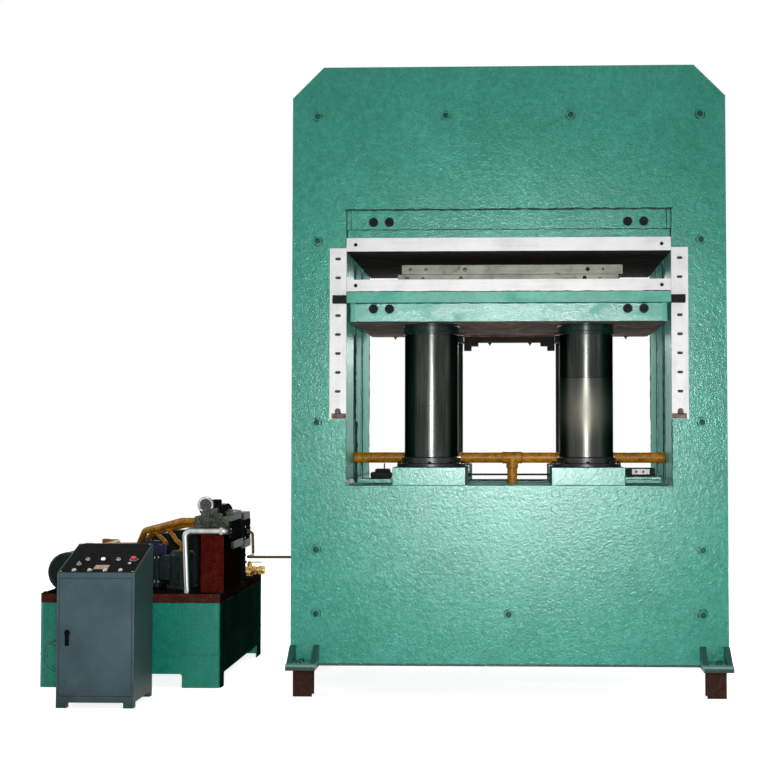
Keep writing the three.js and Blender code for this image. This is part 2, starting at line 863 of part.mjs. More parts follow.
// Feed pipe: across the window, down between the packs, and back over the middle pack
function feedPipe() {
  const end = feedHalfLength;
  const main = bar('x', feedRadius, [-end, end], [0, feedY, feedHeight], pipeSides);
  const caps = [-1, 1].map((hand) => {
    const span = hand < 0 ? [-end - feedCapLength, bite - end] : [end - bite, end + feedCapLength];
    return bar('x', feedCapRadius, span, [0, feedY, feedHeight], pipeSides);
  });
  const frontDrop = bar('z', feedRadius, [portHeight, feedHeight], [teeOffset, feedY, 0], pipeSides);
  const line = bar('x', lineRadius, [-lineEnd, lineEnd], [0, lineY, portHeight], pipeSides);
  const rear = bentPipe([
    [teeOffset, feedY, feedHeight],
    [teeOffset, supplyDepth, feedHeight],
    [teeOffset, supplyDepth, portHeight + lineRadius + seatGap],
  ], rearFeedRadius, 2 * rearFeedRadius);
  return join(main, caps, frontDrop, line, rear);
}

// Drain pipe between the heads of the front cylinders
function drainPipe() {
  const half = (ramSpacingX - headWidth) / 2 - seatGap;
  return bar('x', drainRadius, [-half, half], [0, drainDepth, drainHeight], pipeSides);
}

// Supply pipe from the power unit, along the gap behind the middle pack, to the rear barrels
function supplyPipe() {
  const startX = tankCentre + rearBlockSide + rearBlockWidth + seatGap;
  const startY = tankFront + rearBlockFront + rearBlockDepth / 2;
  const startZ = lidTop + rearPedestalHeight + rearBlockHeight / 2;
  const turnX = startX + supplyOut;
  return bentPipe([
    [startX, startY, startZ],
    [turnX, startY, startZ],
    [turnX, startY, portHeight],
    [turnX, supplyDepth, portHeight],
    [lineEnd, supplyDepth, portHeight],
  ], lineRadius, lineBend);
}

function buildPress() {
  const press = new THREE.Group();
  addPiece(press, 'front_frame', frontFrame(), pressGreen);
  addPiece(press, 'middle_frame', middleFrame(), pressGreen);
  addPiece(press, 'rear_frame', rearFrame(), pressGreen);
  const footX = frameWidth / 2 - footInset - footWidth / 2;
  const hands = [['left', -1], ['right', 1]];
  const ends = [['front', 0], ['rear', 1]];
  for (const [handName, hand] of hands) {
    for (const [endName, end] of ends) {
      const footY = end === 0 ? footWidth / 2 : frameDepth - footWidth / 2;
      addPiece(press, `foot_${endName}_${handName}`, foot(), primerRed, [hand * footX, footY, 0]);
    }
  }
  addPiece(press, 'upper_beam', upperBeam(), pressGreen);
  const beamBottom = windowTop - seatGap - upperBeamHeight - upperPlateHeight;
  const platenLevel = beamBottom - seatGap - upperPlatenHeight;
  addPiece(press, 'upper_platen', platen(upperPlatenHeight), brightSteel, [0, 0, platenLevel]);
  for (const [handName, hand] of hands) {
    for (const [endName, end] of ends) {
      const ramY = end === 0 ? frontRamY : rearRamY;
      addPiece(press, `cylinder_${endName}_${handName}`, cylinder(hand * ramSpacingX / 2, ramY), pressGreen);
      addPiece(press, `guide_rail_${endName}_${handName}`, guideRail(hand, end), brightSteel);
    }
  }
  addPiece(press, 'feed_pipe', feedPipe(), pipeYellow);
  addPiece(press, 'drain_pipe', drainPipe(), blackSteel);
  addPiece(press, 'supply_pipe', supplyPipe(), pipeYellow);
  press.add(buildTable(hands, ends));
  return press;
}

function buildTable(hands, ends) {
  const table = new THREE.Group();
  table.position.z = tableHeight;
  const plateLevel = movingBeamHeight + seatGap;
  const platenLevel = plateLevel + tablePlateHeight + seatGap;
  const mouldLevel = platenLevel + lowerPlatenHeight + seatGap;
  const upperMouldLevel = mouldLevel + lowerMouldHeight + seatGap;
  addPiece(table, 'moving_beam', movingBeam(), pressGreen);
  addPiece(table, 'table_plate', platen(tablePlateHeight), pressGreen, [0, 0, plateLevel]);
  addPiece(table, 'lower_platen', platen(lowerPlatenHeight), brightSteel, [0, 0, platenLevel]);
  addPiece(table, 'lower_mould', mould(lowerMouldHeight, lowerMouldShift), mouldSteel, [0, 0, mouldLevel]);
  const upperMould = mould(upperMouldHeight, upperMouldShift);
  addPiece(table, 'upper_mould', upperMould, mouldSteel, [0, 0, upperMouldLevel]);
  for (const [handName, hand] of hands) {
    for (const [endName, end] of ends) {
      const place = [hand * ramSpacingX / 2, end === 0 ? frontRamY : rearRamY, 0];
      addPiece(table, `ram_${endName}_${handName}`, ram(), polishedSteel, place);
      addPiece(table, `guide_shoe_${endName}_${handName}`, guideShoe(hand, end), blackSteel);
    }
  }
  return table;
}

// Power unit, laid out from the middle of the tank's front edge

function roundedRectangle(width, depth, radius) {
  const side = width / 2;
  const shape = new THREE.Shape();
  shape.moveTo(radius - side, 0);
  shape.lineTo(side - radius, 0);
  shape.absarc(side - radius, radius, radius, -Math.PI / 2, 0, false);
  shape.absarc(side - radius, depth - radius, radius, 0, Math.PI / 2, false);
  shape.absarc(radius - side, depth - radius, radius, Math.PI / 2, Math.PI, false);
  shape.absarc(radius - side, radius, radius, Math.PI, (3 * Math.PI) / 2, false);
  return shape;
}

// The same outline, drawn in all round by a wall
function insideOutline(wall) {
  const shape = roundedRectangle(tankWidth - 2 * wall, tankDepth - 2 * wall, tankCornerRadius - wall);
  return (span) => plateFlat(shape, span).translate(0, wall, 0);
}

function tank() {
  const outer = roundedRectangle(tankWidth, tankDepth, tankCornerRadius);
  const inside = insideOutline(tankWall);
  const room = inside([tankFloorHeight + tankWall, tankTop + overrun]);
  const shell = cut(plateFlat(outer, [tankFloorHeight, tankTop]), room);
  const under = inside([-overrun, tankFloorHeight + overrun]);
  const skirt = cut(plateFlat(outer, [0, tankFloorHeight + bite]), under);
  const side = tankWidth / 2;
  const legs = [];
  for (const across of [[-side - overrun, tankLegWidth - side], [side - tankLegWidth, side + overrun]]) {
    const height = [-overrun, tankFloorHeight + overrun];
    legs.push(overlapOf(skirt, box(across, [-overrun, tankFrontLegDepth], height)));
    legs.push(overlapOf(skirt, box(across, [tankDepth - tankRearLegDepth, tankDepth + overrun], height)));
  }
  const through = [-overrun, tankWall + overrun];
  const hole = bar('y', coverHoleRadius, through, [coverOffset, 0, coverHeight], turnedSides);
  return cut(join(shell, legs), hole);
}

// Round cover over the cleaning hole, on the tank's front wall
function cleanOutCover() {
  const disc = bar('y', coverRadius, [-coverThickness, -seatGap], [coverOffset, 0, coverHeight], turnedSides);
  const bolts = [];
  for (let i = 0; i < coverBoltCount; i += 1) {
    const turn = (2 * Math.PI * i) / coverBoltCount;
    const x = coverOffset + (coverRadius - coverBoltInset) * Math.cos(turn);
    const z = coverHeight + (coverRadius - coverBoltInset) * Math.sin(turn);
    bolts.push(bar('y', coverBoltRadius, [-coverThickness - coverBoltRadius, -seatGap], [x, 0, z], hexSides));
  }
  return join(disc, bolts);
}

// The lid is an upturned tray with the tank's outline
function tankLid() {
  const outer = plateFlat(roundedRectangle(tankWidth, tankDepth, tankCornerRadius), [0, lidHeight]);
  return cut(outer, insideOutline(lidWall)([-overrun, lidHeight - lidWall]));
}

// Turned piece lying along the tank, its profile running from the front to the back
function turnedAlong(profile, sides) {
  const flipped = profile.map(([radius, place]) => [radius, -place]).reverse();
  return turned(flipped, sides).rotateX(Math.PI / 2);
}

// Electric motor on its side: fan cowl, body, end bell, feet and terminal box
function lyingMotor(front) {
  const back = front + motorLength;
  const bodySpan = [front + cowlLength, back - motorBellLength];
  const body = turnedAlong([
    [cowlRadius - cowlRounding, front],
    [cowlRadius, front + cowlRounding],
    [cowlRadius, bodySpan[0]],
    [motorRadius, bodySpan[0]],
    [motorRadius, bodySpan[1]],
    [motorBellRadius, back],
  ], turnedSides);
  const fins = [];
  for (let i = 0; i < finCount; i += 1) {
    const turn = (Math.PI * (i + 1 / 2)) / finCount - Math.PI / 2;
    const fin = box(about(0, finThickness), [bodySpan[0] - bite, bodySpan[1]], [-finTip, finTip]);
    fins.push(fin.rotateY(turn));
  }
  const footTop = bite - motorRadius + motorFootRise;
  const feet = box(about(0, motorFootWidth), about((bodySpan[0] + bodySpan[1]) / 2, motorFootDepth), [
    seatGap - motorAxisHeight,
    footTop,
  ]);
  const [boxReach, boxLength, boxHeight] = terminalBox;
  const boxMiddle = (bodySpan[0] + bodySpan[1]) / 2;
  const terminals = box([0, motorRadius + boxReach], about(boxMiddle, boxLength), about(0, boxHeight));
  return { body: join(body, fins, feet, terminals), back };
}

// Many-sided bore that a turning shaft of the given radius clears all the way round
function boreFor(radius, span) {
  return bar('y', (radius + shaftClearance) / Math.cos(Math.PI / turnedSides), span, [0, 0, 0], turnedSides);
}

// Gear pump on its foot, with a flange towards the motor and ports on its top and its side
function gearPump(front) {
  const body = turnedAlong([
    [pumpFlangeRadius, front],
    [pumpFlangeRadius, front + pumpFlangeLength],
    [pumpRadius, front + pumpFlangeLength],
    [pumpRadius, front + pumpLength],
  ], turnedSides);
  const middle = front + (pumpFlangeLength + pumpLength) / 2;
  const flange = [front, front + pumpFlangeLength];
  const footing = box(about(0, pumpFootWidth), flange, [seatGap - motorAxisHeight, 0]);
  const port = bar('z', pumpPortRadius, [0, pumpRadius + pumpPortHeight], [0, middle, 0], pipeSides);
  return { body: join(body, footing, port), middle };
}

// Shaft coupling between motor and pump, with the shaft ends that turn with it
function driveShaft(front, back) {
  const middle = (front + back) / 2;
  const half = couplingLength / 2;
  return turnedAlong([
    [shaftRadius, front - shaftDepth + runningGap],
    [shaftRadius, middle - half],
    [couplingRadius, middle - half],
    [couplingRadius, middle - couplingGroove],
    [couplingNeck, middle - couplingGroove],
    [couplingNeck, middle + couplingGroove],
    [couplingRadius, middle + couplingGroove],
    [couplingRadius, middle + half],
    [shaftRadius, middle + half],
    [shaftRadius, back + shaftDepth - runningGap],
  ], turnedSides);
}

// Motor standing upright on the lid
function uprightMotor() {
  const top = uprightHeight - uprightCapHeight;
  return turned([
    [uprightFlangeRadius, seatGap],
    [uprightFlangeRadius, uprightFlangeHeight],
    [uprightRadius, uprightFlangeHeight],
    [uprightRadius, top],
    [uprightRadius - uprightCapHeight / 2, uprightHeight],
  ], turnedSides);
}

// Slim line filter standing upright on the lid
function filter() {
  return turned([
    [filterBaseRadius, seatGap],
    [filterBaseRadius, filterBaseHeight],
    [filterRadius, filterBaseHeight],
    [filterRadius, filterHeight - filterCapHeight],
    [filterCapRadius, filterHeight - filterCapHeight],
    [filterCapRadius, filterHeight],
  ], pipeSides);
}

// Stand for the valves: a folded sheet, open towards the lid and at the back
function valveStand() {
  const outside = box([0, standWidth], [0, standDepth], [seatGap, standHeight]);
  const inside = box([standWall, standWidth - standWall], [standWall, standDepth + overrun], [
    -overrun,
    standHeight - standWall,
  ]);
  return cut(outside, inside);
}

// Manifold with two directional valves lying across it, a solenoid at each of their ends
function manifold() {
  const block = box([0, manifoldWidth], [0, manifoldDepth], [seatGap, manifoldHeight]);
  const lumps = [block];
  for (let i = 0; i < valveCount; i += 1) {
    const middle = (manifoldDepth * (i + 1)) / (valveCount + 1) + valveShift;
    const body = box(about(manifoldWidth / 2, valveLength), about(middle, valveWidth), [
      manifoldHeight - bite,
      manifoldHeight + valveHeight,
    ]);
    const span = about(manifoldWidth / 2, valveLength + 2 * solenoidLength);
    const axis = manifoldHeight + valveHeight / 2;
    lumps.push(body, bar('x', solenoidRadius, span, [0, middle, axis], pipeSides));
  }
  return join(lumps);
}

// Pressure gauge facing the operator on a stem with a nut
function gauge() {
  const lift = gaugeRise;
  const face = turnedAlong([
    [gaugeRadius, -gaugeThickness],
    [gaugeRadius, -bite],
    [gaugeRadius - gaugeBack, 0],
  ], turnedSides).translate(0, 0, lift);
  const stem = bar('z', gaugeStemRadius, [seatGap, lift], [0, -gaugeThickness / 2, 0], pipeSides);
  const nut = bar('z', gaugeNut, [seatGap, gaugeNut + seatGap], [0, -gaugeThickness / 2, 0], hexSides);
  return join(face, stem, nut);
}

// Rear valve block on its pedestal
function rearValveBlock() {
  const inset = rearPedestalInset;
  const pedestal = box([inset, rearBlockWidth - inset], [inset, rearBlockDepth - inset], [
    seatGap,
    rearPedestalHeight + bite,
  ]);
  const blockTop = rearPedestalHeight + rearBlockHeight;
  const block = box([0, rearBlockWidth], [0, rearBlockDepth], [rearPedestalHeight, blockTop]);
  const valve = box(about(rearBlockWidth / 2, rearValveWidth), about(rearBlockDepth / 2, rearValveWidth), [
    blockTop - bite,
    blockTop + rearValveHeight,
  ]);
  const plug = bar('z', rearPlugRadius, [blockTop, blockTop + rearValveHeight + rearPlugHeight], [
    rearBlockWidth / 2,
    rearBlockDepth / 2,
    0,
  ], hexSides);
  return join(pedestal, block, valve, plug);
}

// Bright return pipe: up beside the stand, across it, and back into the manifold
function returnPipe() {
  const [x, y] = returnPlace;
  const height = lidTop + returnRise;
  return bentPipe([
    [x, y, lidTop + seatGap],
    [x, y, height],
    [x + returnReach, y, height],
    [x + returnReach, manifoldFront - seatGap, height],
  ], returnRadius, returnBend);
}

// Pressure pipe from both pumps, with branches down to the upright motor and the filter
function pressurePipe(mainY, secondY) {
  const [lowZ, highZ] = pressureHeights;
  const [crestX, kneeX, riseX] = pressureKnees;
  const portZ = motorAxis + pumpRadius + pumpPortHeight + seatGap;
  const crestY = manifoldFront + manifoldDepth / 2;
  const knee = [kneeX, (mainY + crestY) / 2, (lowZ + highZ) / 2 + pressureLift];
  const crest = [crestX, crestY, highZ];
  const main = bentPipe([
    [motorSide, mainY, portZ],
    [motorSide, mainY, lowZ],
    [riseX, mainY, lowZ],
    knee,
    crest,
    [manifoldSide - seatGap, crestY, highZ],
  ], pressureRadius, pressureBend);
  const second = bentPipe([
    [secondSide, secondY, portZ],
    [secondSide, secondY, lowZ],
    [secondSide + pressureTee, secondY, lowZ],
    [secondSide + pressureTee, mainY, lowZ],
  ], pressureRadius - bite, pressureBend);
  const branches = [
    [uprightPlace, lidTop + uprightHeight],
    [filterPlace, lidTop + filterHeight],
  ].map(([[x, y], top], i) => bentPipe([
    [x, y, top + seatGap],
    [x, y, top + branchRise],
    knee.map((start, axis) => start + branchShares[i] * (crest[axis] - start)),
  ], branchRadius, branchBend));
  return join(main, second, branches);
}

// Stop valve lying on a short foot, with the boss that its lever turns on
function stopValve() {
  const axis = stopFootHeight + stopBodyRadius;
  const body = bar('y', stopBodyRadius, about(0, stopBodyLength), [0, 0, axis], pipeSides);
  const top = axis + stopBodyRadius + stopNeckHeight;
  const neck = bar('z', stopNeckRadius, [axis, top], [0, 0, 0], turnedSides);
  const standing = bar('z', stopFootRadius, [seatGap, axis], [0, 0, 0], pipeSides);
  const pinBore = boreFor(stopPinRadius, [0, stopPinDepth + overrun]).rotateX(Math.PI / 2);
  return cut(join(body, neck, standing), pinBore.translate(0, 0, top - stopPinDepth));
}

// Lever of the stop valve, with the pin that goes down its boss
function stopLever() {
  const hub = bar('z', leverHubRadius, [seatGap, leverThickness], [0, 0, 0], turnedSides);
  const arm = box([0, leverLength], about(0, leverWidth), [seatGap, leverThickness]);
  const pinSpan = [runningGap - stopPinDepth, leverThickness];
  const pin = bar('z', stopPinRadius, pinSpan, [0, 0, 0], turnedSides);
  return join(hub, arm, pin);
}

function buildPowerUnit() {
  const unit = new THREE.Group();
  unit.position.set(tankCentre, tankFront, 0);
  addPiece(unit, 'tank', tank(), tankGreen);
  addPiece(unit, 'tank_lid', tankLid(), oxideRed, [0, 0, tankTop + seatGap]);
  addPiece(unit, 'clean_out_cover', cleanOutCover(), tankGreen);
  const motor = lyingMotor(motorFront);
  const pump = gearPump(motor.back + shaftRun);
  const motorBore = boreFor(shaftRadius, [motor.back - shaftDepth, motor.back + overrun]);
  const pumpFace = motor.back + shaftRun;
  const pumpBore = boreFor(shaftRadius, [pumpFace - overrun, pumpFace + shaftDepth]);
  const lifted = [motorSide, 0, motorAxis];
  addPiece(unit, 'main_motor', cut(motor.body, motorBore), motorTeal, lifted);
  addPiece(unit, 'drive_shaft', driveShaft(motor.back, pumpFace), blackSteel, lifted);
  addPiece(unit, 'main_pump', cut(pump.body, pumpBore), motorTeal, lifted);
  const second = lyingMotor(secondFront);
  const secondPump = gearPump(second.back - bite);
  const secondSet = join(second.body, secondPump.body);
  addPiece(unit, 'second_motor_pump', secondSet, motorTeal, [secondSide, 0, motorAxis]);
  addPiece(unit, 'upright_motor', uprightMotor(), motorTeal, [...uprightPlace, lidTop]);
  addPiece(unit, 'filter', filter(), motorTeal, [...filterPlace, lidTop]);
  addPiece(unit, 'valve_stand', valveStand(), oxideRed, [standSide, standFront, lidTop]);
  addPiece(unit, 'manifold', manifold(), valveGrey, [manifoldSide, manifoldFront, manifoldBottom - seatGap]);
  const gaugePlace = [gaugeSide, manifoldFront + gaugeSetback, manifoldTop];
  addPiece(unit, 'pressure_gauge', gauge(), chromedSteel, gaugePlace);
  addPiece(unit, 'rear_valve_block', rearValveBlock(), valveGrey, [rearBlockSide, rearBlockFront, lidTop]);
  addPiece(unit, 'return_pipe', returnPipe(), chromedSteel);
  addPiece(unit, 'pressure_pipe', pressurePipe(pump.middle, secondPump.middle), pipeYellow);
  addPiece(unit, 'stop_valve', stopValve(), castBrass, [...stopPlace, lidTop]);
  const leverHeight = lidTop + stopFootHeight + 2 * stopBodyRadius + stopNeckHeight;
  addPiece(unit, 'stop_valve_lever', stopLever(), castBrass, [...stopPlace, leverHeight]);
  return unit;
}

// Control cabinet, laid out from the middle of its front edge on the floor

// The cabinet's outline from the side, drawn in by a wall
function cabinetOutline(wall) {
  const rise = wall / Math.cos(consoleAngle);
  const slope = Math.tan(consoleAngle);
  return [
    [wall, cabinetLegHeight + wall],
    [cabinetDepth - wall, cabinetLegHeight + wall],
    [cabinetDepth - wall, cabinetRearHeight - wall * slope - rise],
    [wall, cabinetFrontHeight + wall * slope - rise],
  ];
}

const doorWidth = cabinetWidth - 2 * doorMarginSide;
const doorBottom = cabinetLegHeight + doorMarginBottom;
const doorHeight = cabinetFrontHeight - doorMarginTop - doorBottom;
const frameReturn = doorThickness + seatGap + cabinetWall;

function cabinetShell() {
  const outside = plateAlong(cabinetOutline(0), about(0, cabinetWidth));
  const cavity = overlapOf(
    plateAlong(cabinetOutline(cabinetWall), about(0, cabinetWidth - 2 * cabinetWall)),
    box(about(0, cabinetWidth), [frameReturn, cabinetDepth], [0, cabinetRearHeight]),
  );
  const recessDepth = doorThickness + seatGap;
  const recess = box(about(0, doorWidth + 2 * doorGap), [-overrun, recessDepth], [
    doorBottom - doorGap,
    doorBottom + doorHeight + doorGap,
  ]);
  const opening = box(about(0, doorWidth - 2 * rebateWidth), [-overrun, frameReturn + overrun], [
    doorBottom + rebateWidth,
    doorBottom + doorHeight - rebateWidth,
  ]);
  const legs = [];
  for (const hand of [-1, 1]) {
    const middle = hand * (cabinetWidth - cabinetLegTop) / 2;
    for (const along of [[0, cabinetLegDepth], [cabinetDepth - cabinetLegDepth, cabinetDepth]]) {
      legs.push(box(about(middle, cabinetLegTop), along, [0, cabinetLegHeight + bite]));
    }
  }
  const holes = buttonPlaces().map(([x, y, stem]) => {
    const radius = (stem + shaftClearance) / Math.cos(Math.PI / consoleSides);
    return onConsole(bar('z', radius, [-2 * overrun, overrun], [x, y, 0], consoleSides));
  });
  return cut(join(outside, legs), cavity, recess, opening, holes);
}

// Tips a piece laid out flat onto the sloping console
function onConsole(geometry) {
  return geometry.rotateX(consoleAngle).translate(0, 0, cabinetFrontHeight);
}

function buttonPlaces() {
  const places = [];
  for (let i = 0; i < buttonCount; i += 1) {
    const share = (i + 1) * buttonPitchShare - 1 / 2;
    places.push([share * cabinetWidth, buttonRowShare * consoleLength, buttonStem]);
  }
  places.push([emergencyShare * cabinetWidth, stopRowShare * consoleLength, emergencyStem]);
  places.push([selectorShare * cabinetWidth, selectorRowShare * consoleLength, selectorStem]);
  return places;
}

// Round head over the console and its stem through it; a travel is kept free under the head
function consoleButton([x, y, stemRadius], headRadius, headHeight, travel) {
  const stem = bar('z', stemRadius, [-stemDepth, travel + bite], [x, y, 0], consoleSides);
  const head = bar('z', headRadius, [travel, travel + headHeight], [x, y, 0], consoleSides);
  return onConsole(join(stem, head));
}

function selectorKnob(place) {
  const [x, y, stemRadius] = place;
  const stem = bar('z', stemRadius, [-stemDepth, selectorHeight / 2], [x, y, 0], consoleSides);
  const base = bar('z', selectorRadius, [seatGap, selectorHeight / 2], [x, y, 0], consoleSides);
  const grip = box(about(x, selectorFin), about(y, 2 * selectorRadius - selectorFin), [
    selectorHeight / 2 - bite,
    selectorHeight,
  ]);
  return onConsole(join(stem, base, grip));
}

// Sheet door, its edges folded back
function cabinetDoor() {
  const slab = box(about(0, doorWidth), [0, doorThickness], [0, doorHeight]);
  const hollow = box(about(0, doorWidth - 2 * rebateWidth), [doorSheet, doorThickness + overrun], [
    rebateWidth,
    doorHeight - rebateWidth,
  ]);
  const spindleHeight = spindleZ - doorBottom;
  const bossSpan = [doorSheet - bite, doorThickness];
  const boss = box(about(handleX, doorFold), bossSpan, about(spindleHeight, doorFold));
  const whole = join(cut(slab, hollow), boss);
  const hole = boreFor(handleSpindleRadius, [-overrun, doorThickness + overrun]);
  return cut(whole, hole.translate(handleX, 0, spindleHeight));
}

function doorHandle() {
  const below = handleLength * spindleShare;
  const grip = box(about(0, handleWidth), [-handleReach, -seatGap], [-below, handleLength - below]);
  const spindleSpan = [-handleReach, doorThickness + overrun];
  const spindle = bar('y', handleSpindleRadius, spindleSpan, [0, 0, 0], turnedSides);
  return join(grip, spindle);
}

// Plate on standoffs at the back of the cabinet, carrying the switchgear
function componentBoard() {
  const [width, thickness, height] = componentPlate;
  const back = cabinetDepth - cabinetWall - seatGap;
  const face = back - standoffLength - thickness;
  const low = componentPlateHeight;
  const lumps = [box(about(0, width), [face, face + thickness], [low, low + height])];
  for (const x of [-width / 2 + 2 * standoffRadius, width / 2 - 2 * standoffRadius]) {
    for (const z of [2 * standoffRadius, height - 2 * standoffRadius]) {
      lumps.push(bar('y', standoffRadius, [face + bite, back], [x, 0, low + z], hexSides));
    }
  }
  const rows = [
    [contactorCount, contactorWidth, contactorDepth, contactorHeight, contactorLevel],
    [terminalCount, terminalWidth, terminalDepth, terminalHeight, terminalLevel],
    [relayCount, relayWidth, relayDepth, relayHeight, relayLevel],
  ];
  for (const [count, room, depth, tall, level] of rows) {
    for (let i = 0; i < count; i += 1) {
      const x = (width * (i + 1 / 2)) / count - width / 2;
      const across = about(x, Math.min(room, width / count - 2 * standoffRadius));
      lumps.push(box(across, [face - depth, face + bite], about(low + level, tall)));
    }
  }
  return join(lumps);
}

function buildCabinet() {
  const cabinet = new THREE.Group();
  cabinet.position.set(cabinetCentre, cabinetFront, 0);
  addPiece(cabinet, 'cabinet_shell', cabinetShell(), cabinetGrey);
  addPiece(cabinet, 'cabinet_door', cabinetDoor(), cabinetGrey, [0, 0, doorBottom]);
  addPiece(cabinet, 'door_handle', doorHandle(), darkPlastic, [handleX, 0, spindleZ]);
  addPiece(cabinet, 'component_board', componentBoard(), brightSteel);
  const places = buttonPlaces();
  for (let i = 0; i < buttonCount; i += 1) {
    const button = consoleButton(places[i], buttonRadius, buttonHeight, buttonTravel);
    addPiece(cabinet, `push_button_${i + 1}`, button, whitePlastic);
  }
  const stop = consoleButton(places[buttonCount], emergencyRadius, emergencyHeight, emergencyTravel);
  addPiece(cabinet, 'emergency_stop', stop, redPlastic);
  addPiece(cabinet, 'selector_knob', selectorKnob(places[buttonCount + 1]), chromedSteel);
  return cabinet;
}

// The whole machine, moved so that its origin is the middle of its footprint
const machine = new THREE.Group();
machine.add(buildPress(), buildPowerUnit(), buildCabinet());
machine.updateMatrixWorld(true);
const extent = new THREE.Box3().setFromObject(machine, true);
const centre = extent.getCenter(new THREE.Vector3());
machine.position.set(-centre.x, -centre.y, -extent.min.z);
machine.updateMatrixWorld(true);

export default machine;
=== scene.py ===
# Rubber vulcanizing press with its oil power unit and control cabinet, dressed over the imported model

import math
import random

import bmesh
import bpy
from mathutils import Matrix, Vector


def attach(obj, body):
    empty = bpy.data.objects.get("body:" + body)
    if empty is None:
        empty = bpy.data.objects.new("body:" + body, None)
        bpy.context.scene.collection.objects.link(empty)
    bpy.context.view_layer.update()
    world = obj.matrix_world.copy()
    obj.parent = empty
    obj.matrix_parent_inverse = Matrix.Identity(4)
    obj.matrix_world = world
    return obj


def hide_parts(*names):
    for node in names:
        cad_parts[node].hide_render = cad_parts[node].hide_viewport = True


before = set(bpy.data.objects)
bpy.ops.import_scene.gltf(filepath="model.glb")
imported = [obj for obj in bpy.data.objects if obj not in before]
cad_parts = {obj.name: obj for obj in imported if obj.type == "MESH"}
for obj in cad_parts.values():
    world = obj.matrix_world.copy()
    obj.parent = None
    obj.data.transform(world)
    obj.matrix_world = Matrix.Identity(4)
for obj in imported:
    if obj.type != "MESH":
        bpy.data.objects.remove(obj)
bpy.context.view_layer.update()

# The studio: a white surround over a plain pale floor, lit by a small softbox beside the camera,
# which gives the sheen on the paint, and by weaker lamps over and behind the machine.
# The camera stands where the photograph was taken from, at standing eye height.


def rgb(red, green, blue):
    """A colour as an eye reads it off a screen, 0 to 255, in the values that a shader works with."""
    shares = [value / 255 for value in (red, green, blue)]
    return tuple(s / 12.92 if s < 0.04045 else ((s + 0.055) / 1.055) ** 2.4 for s in shares)


class Wire:
    """One output of a shader node. Arithmetic on it adds Math nodes."""

    def __init__(self, finish, socket):
        self.finish, self.socket = finish, socket

    def maths(self, operation, *values):
        return self.finish.node("ShaderNodeMath", {"operation": operation}, dict(enumerate(values)))

    def __add__(self, other):
        return self.maths("ADD", self, other)

    __radd__ = __add__

    def __sub__(self, other):
        return self.maths("SUBTRACT", self, other)

    def __rsub__(self, other):
        return self.maths("SUBTRACT", other, self)

    def __mul__(self, other):
        return self.maths("MULTIPLY", self, other)

    __rmul__ = __mul__

    def __pow__(self, other):
        return self.maths("POWER", self, other)

    def __lt__(self, other):
        return self.maths("LESS_THAN", self, other)

    def __gt__(self, other):
        return self.maths("GREATER_THAN", self, other)

    def __abs__(self):
        return self.maths("ABSOLUTE", self)

    def either(self, other):
        return self.maths("MAXIMUM", self, other)


class Finish:
    """The nodes of one material, or of the surround, while they are being wired."""

    def __init__(self, owner, main, constants=None):
        owner.use_nodes = True
        self.material, self.tree = owner, owner.node_tree
        self.shader = self.tree.nodes[main]
        for name, value in (constants or {}).items():
            self.feed(self.shader.inputs[name], value)

    def feed(self, socket, value):
        if isinstance(value, Wire):
            self.tree.links.new(value.socket, socket)
        elif socket.type == "RGBA" and len(value) == 3:
            socket.default_value = (*value, 1)
        else:
            socket.default_value = value

    def node(self, kind, settings=None, values=None, output=0):
        """Adds a node: its settings first, then the values or links of its sockets."""
        made = self.tree.nodes.new(kind)
        for name, value in (settings or {}).items():
            if name != "stops":
                setattr(made, name, value)
                continue
            stops = made.color_ramp.elements
            for number, (place, colour) in enumerate(value):
                stop = stops[number] if number < 2 else stops.new(place)
                stop.position, stop.color = place, (*colour, 1)
        for name, value in (values or {}).items():
            self.feed(made.inputs[name], value)
        return Wire(self, made.outputs[output])

    def into(self, **sockets):
        """Feeds the main shader: base_color=wire feeds its Base Color."""
        for name, value in sockets.items():
            self.feed(self.shader.inputs[name.replace("_", " ").title()], value)

    def seen(self):
        """1 for what the camera sees directly, in a gloss or through glass, and 0 for other light."""
        paths = [
            self.node("ShaderNodeLightPath", output=f"Is {ray} Ray")
            for ray in ("Camera", "Glossy", "Transmission")
        ]
        return paths[0].either(paths[1]).either(paths[2])


FILL_LIGHT = 0.23
surround_world = bpy.data.worlds.new("surround")
bpy.context.scene.world = surround_world
surround = Finish(surround_world, "Background", {"Color": (1.0, 1.0, 1.0)})
surround.into(strength=FILL_LIGHT + (1 - FILL_LIGHT) * surround.seen())


def lamp(name, place, target, width, height, watts, spread=180):
    light = bpy.data.lights.new(name, "AREA")
    light.shape, light.size, light.size_y = "ELLIPSE", width, height
    light.energy, light.spread = watts, math.radians(spread)
    stand = bpy.data.objects.new(name, light)
    bpy.context.scene.collection.objects.link(stand)
    stand.location = place
    stand.rotation_euler = (Vector(target) - Vector(place)).to_track_quat("-Z", "Y").to_euler()
    stand.visible_camera = False


lamp("softbox_by_camera", (0.87, -9.2, 1.80), (0.80, -0.64, 1.40), 0.40, 0.50, 45, 50)
lamp("lamp_overhead", (0.2, 0.8, 8.0), (0.2, 0.4, 1.0), 5.0, 4.0, 150)
lamp("lamp_behind", (1.5, 9.0, 4.0), (0.2, 0.3, 1.6), 4.0, 3.0, 330)
lamp("lamp_left", (-9.0, -1.0, 4.0), (0.0, 0.0, 1.5), 3.0, 3.0, 210)
lamp("lamp_right", (9.5, 0.0, 2.4), (0.0, 0.0, 1.6), 3.0, 3.0, 210)

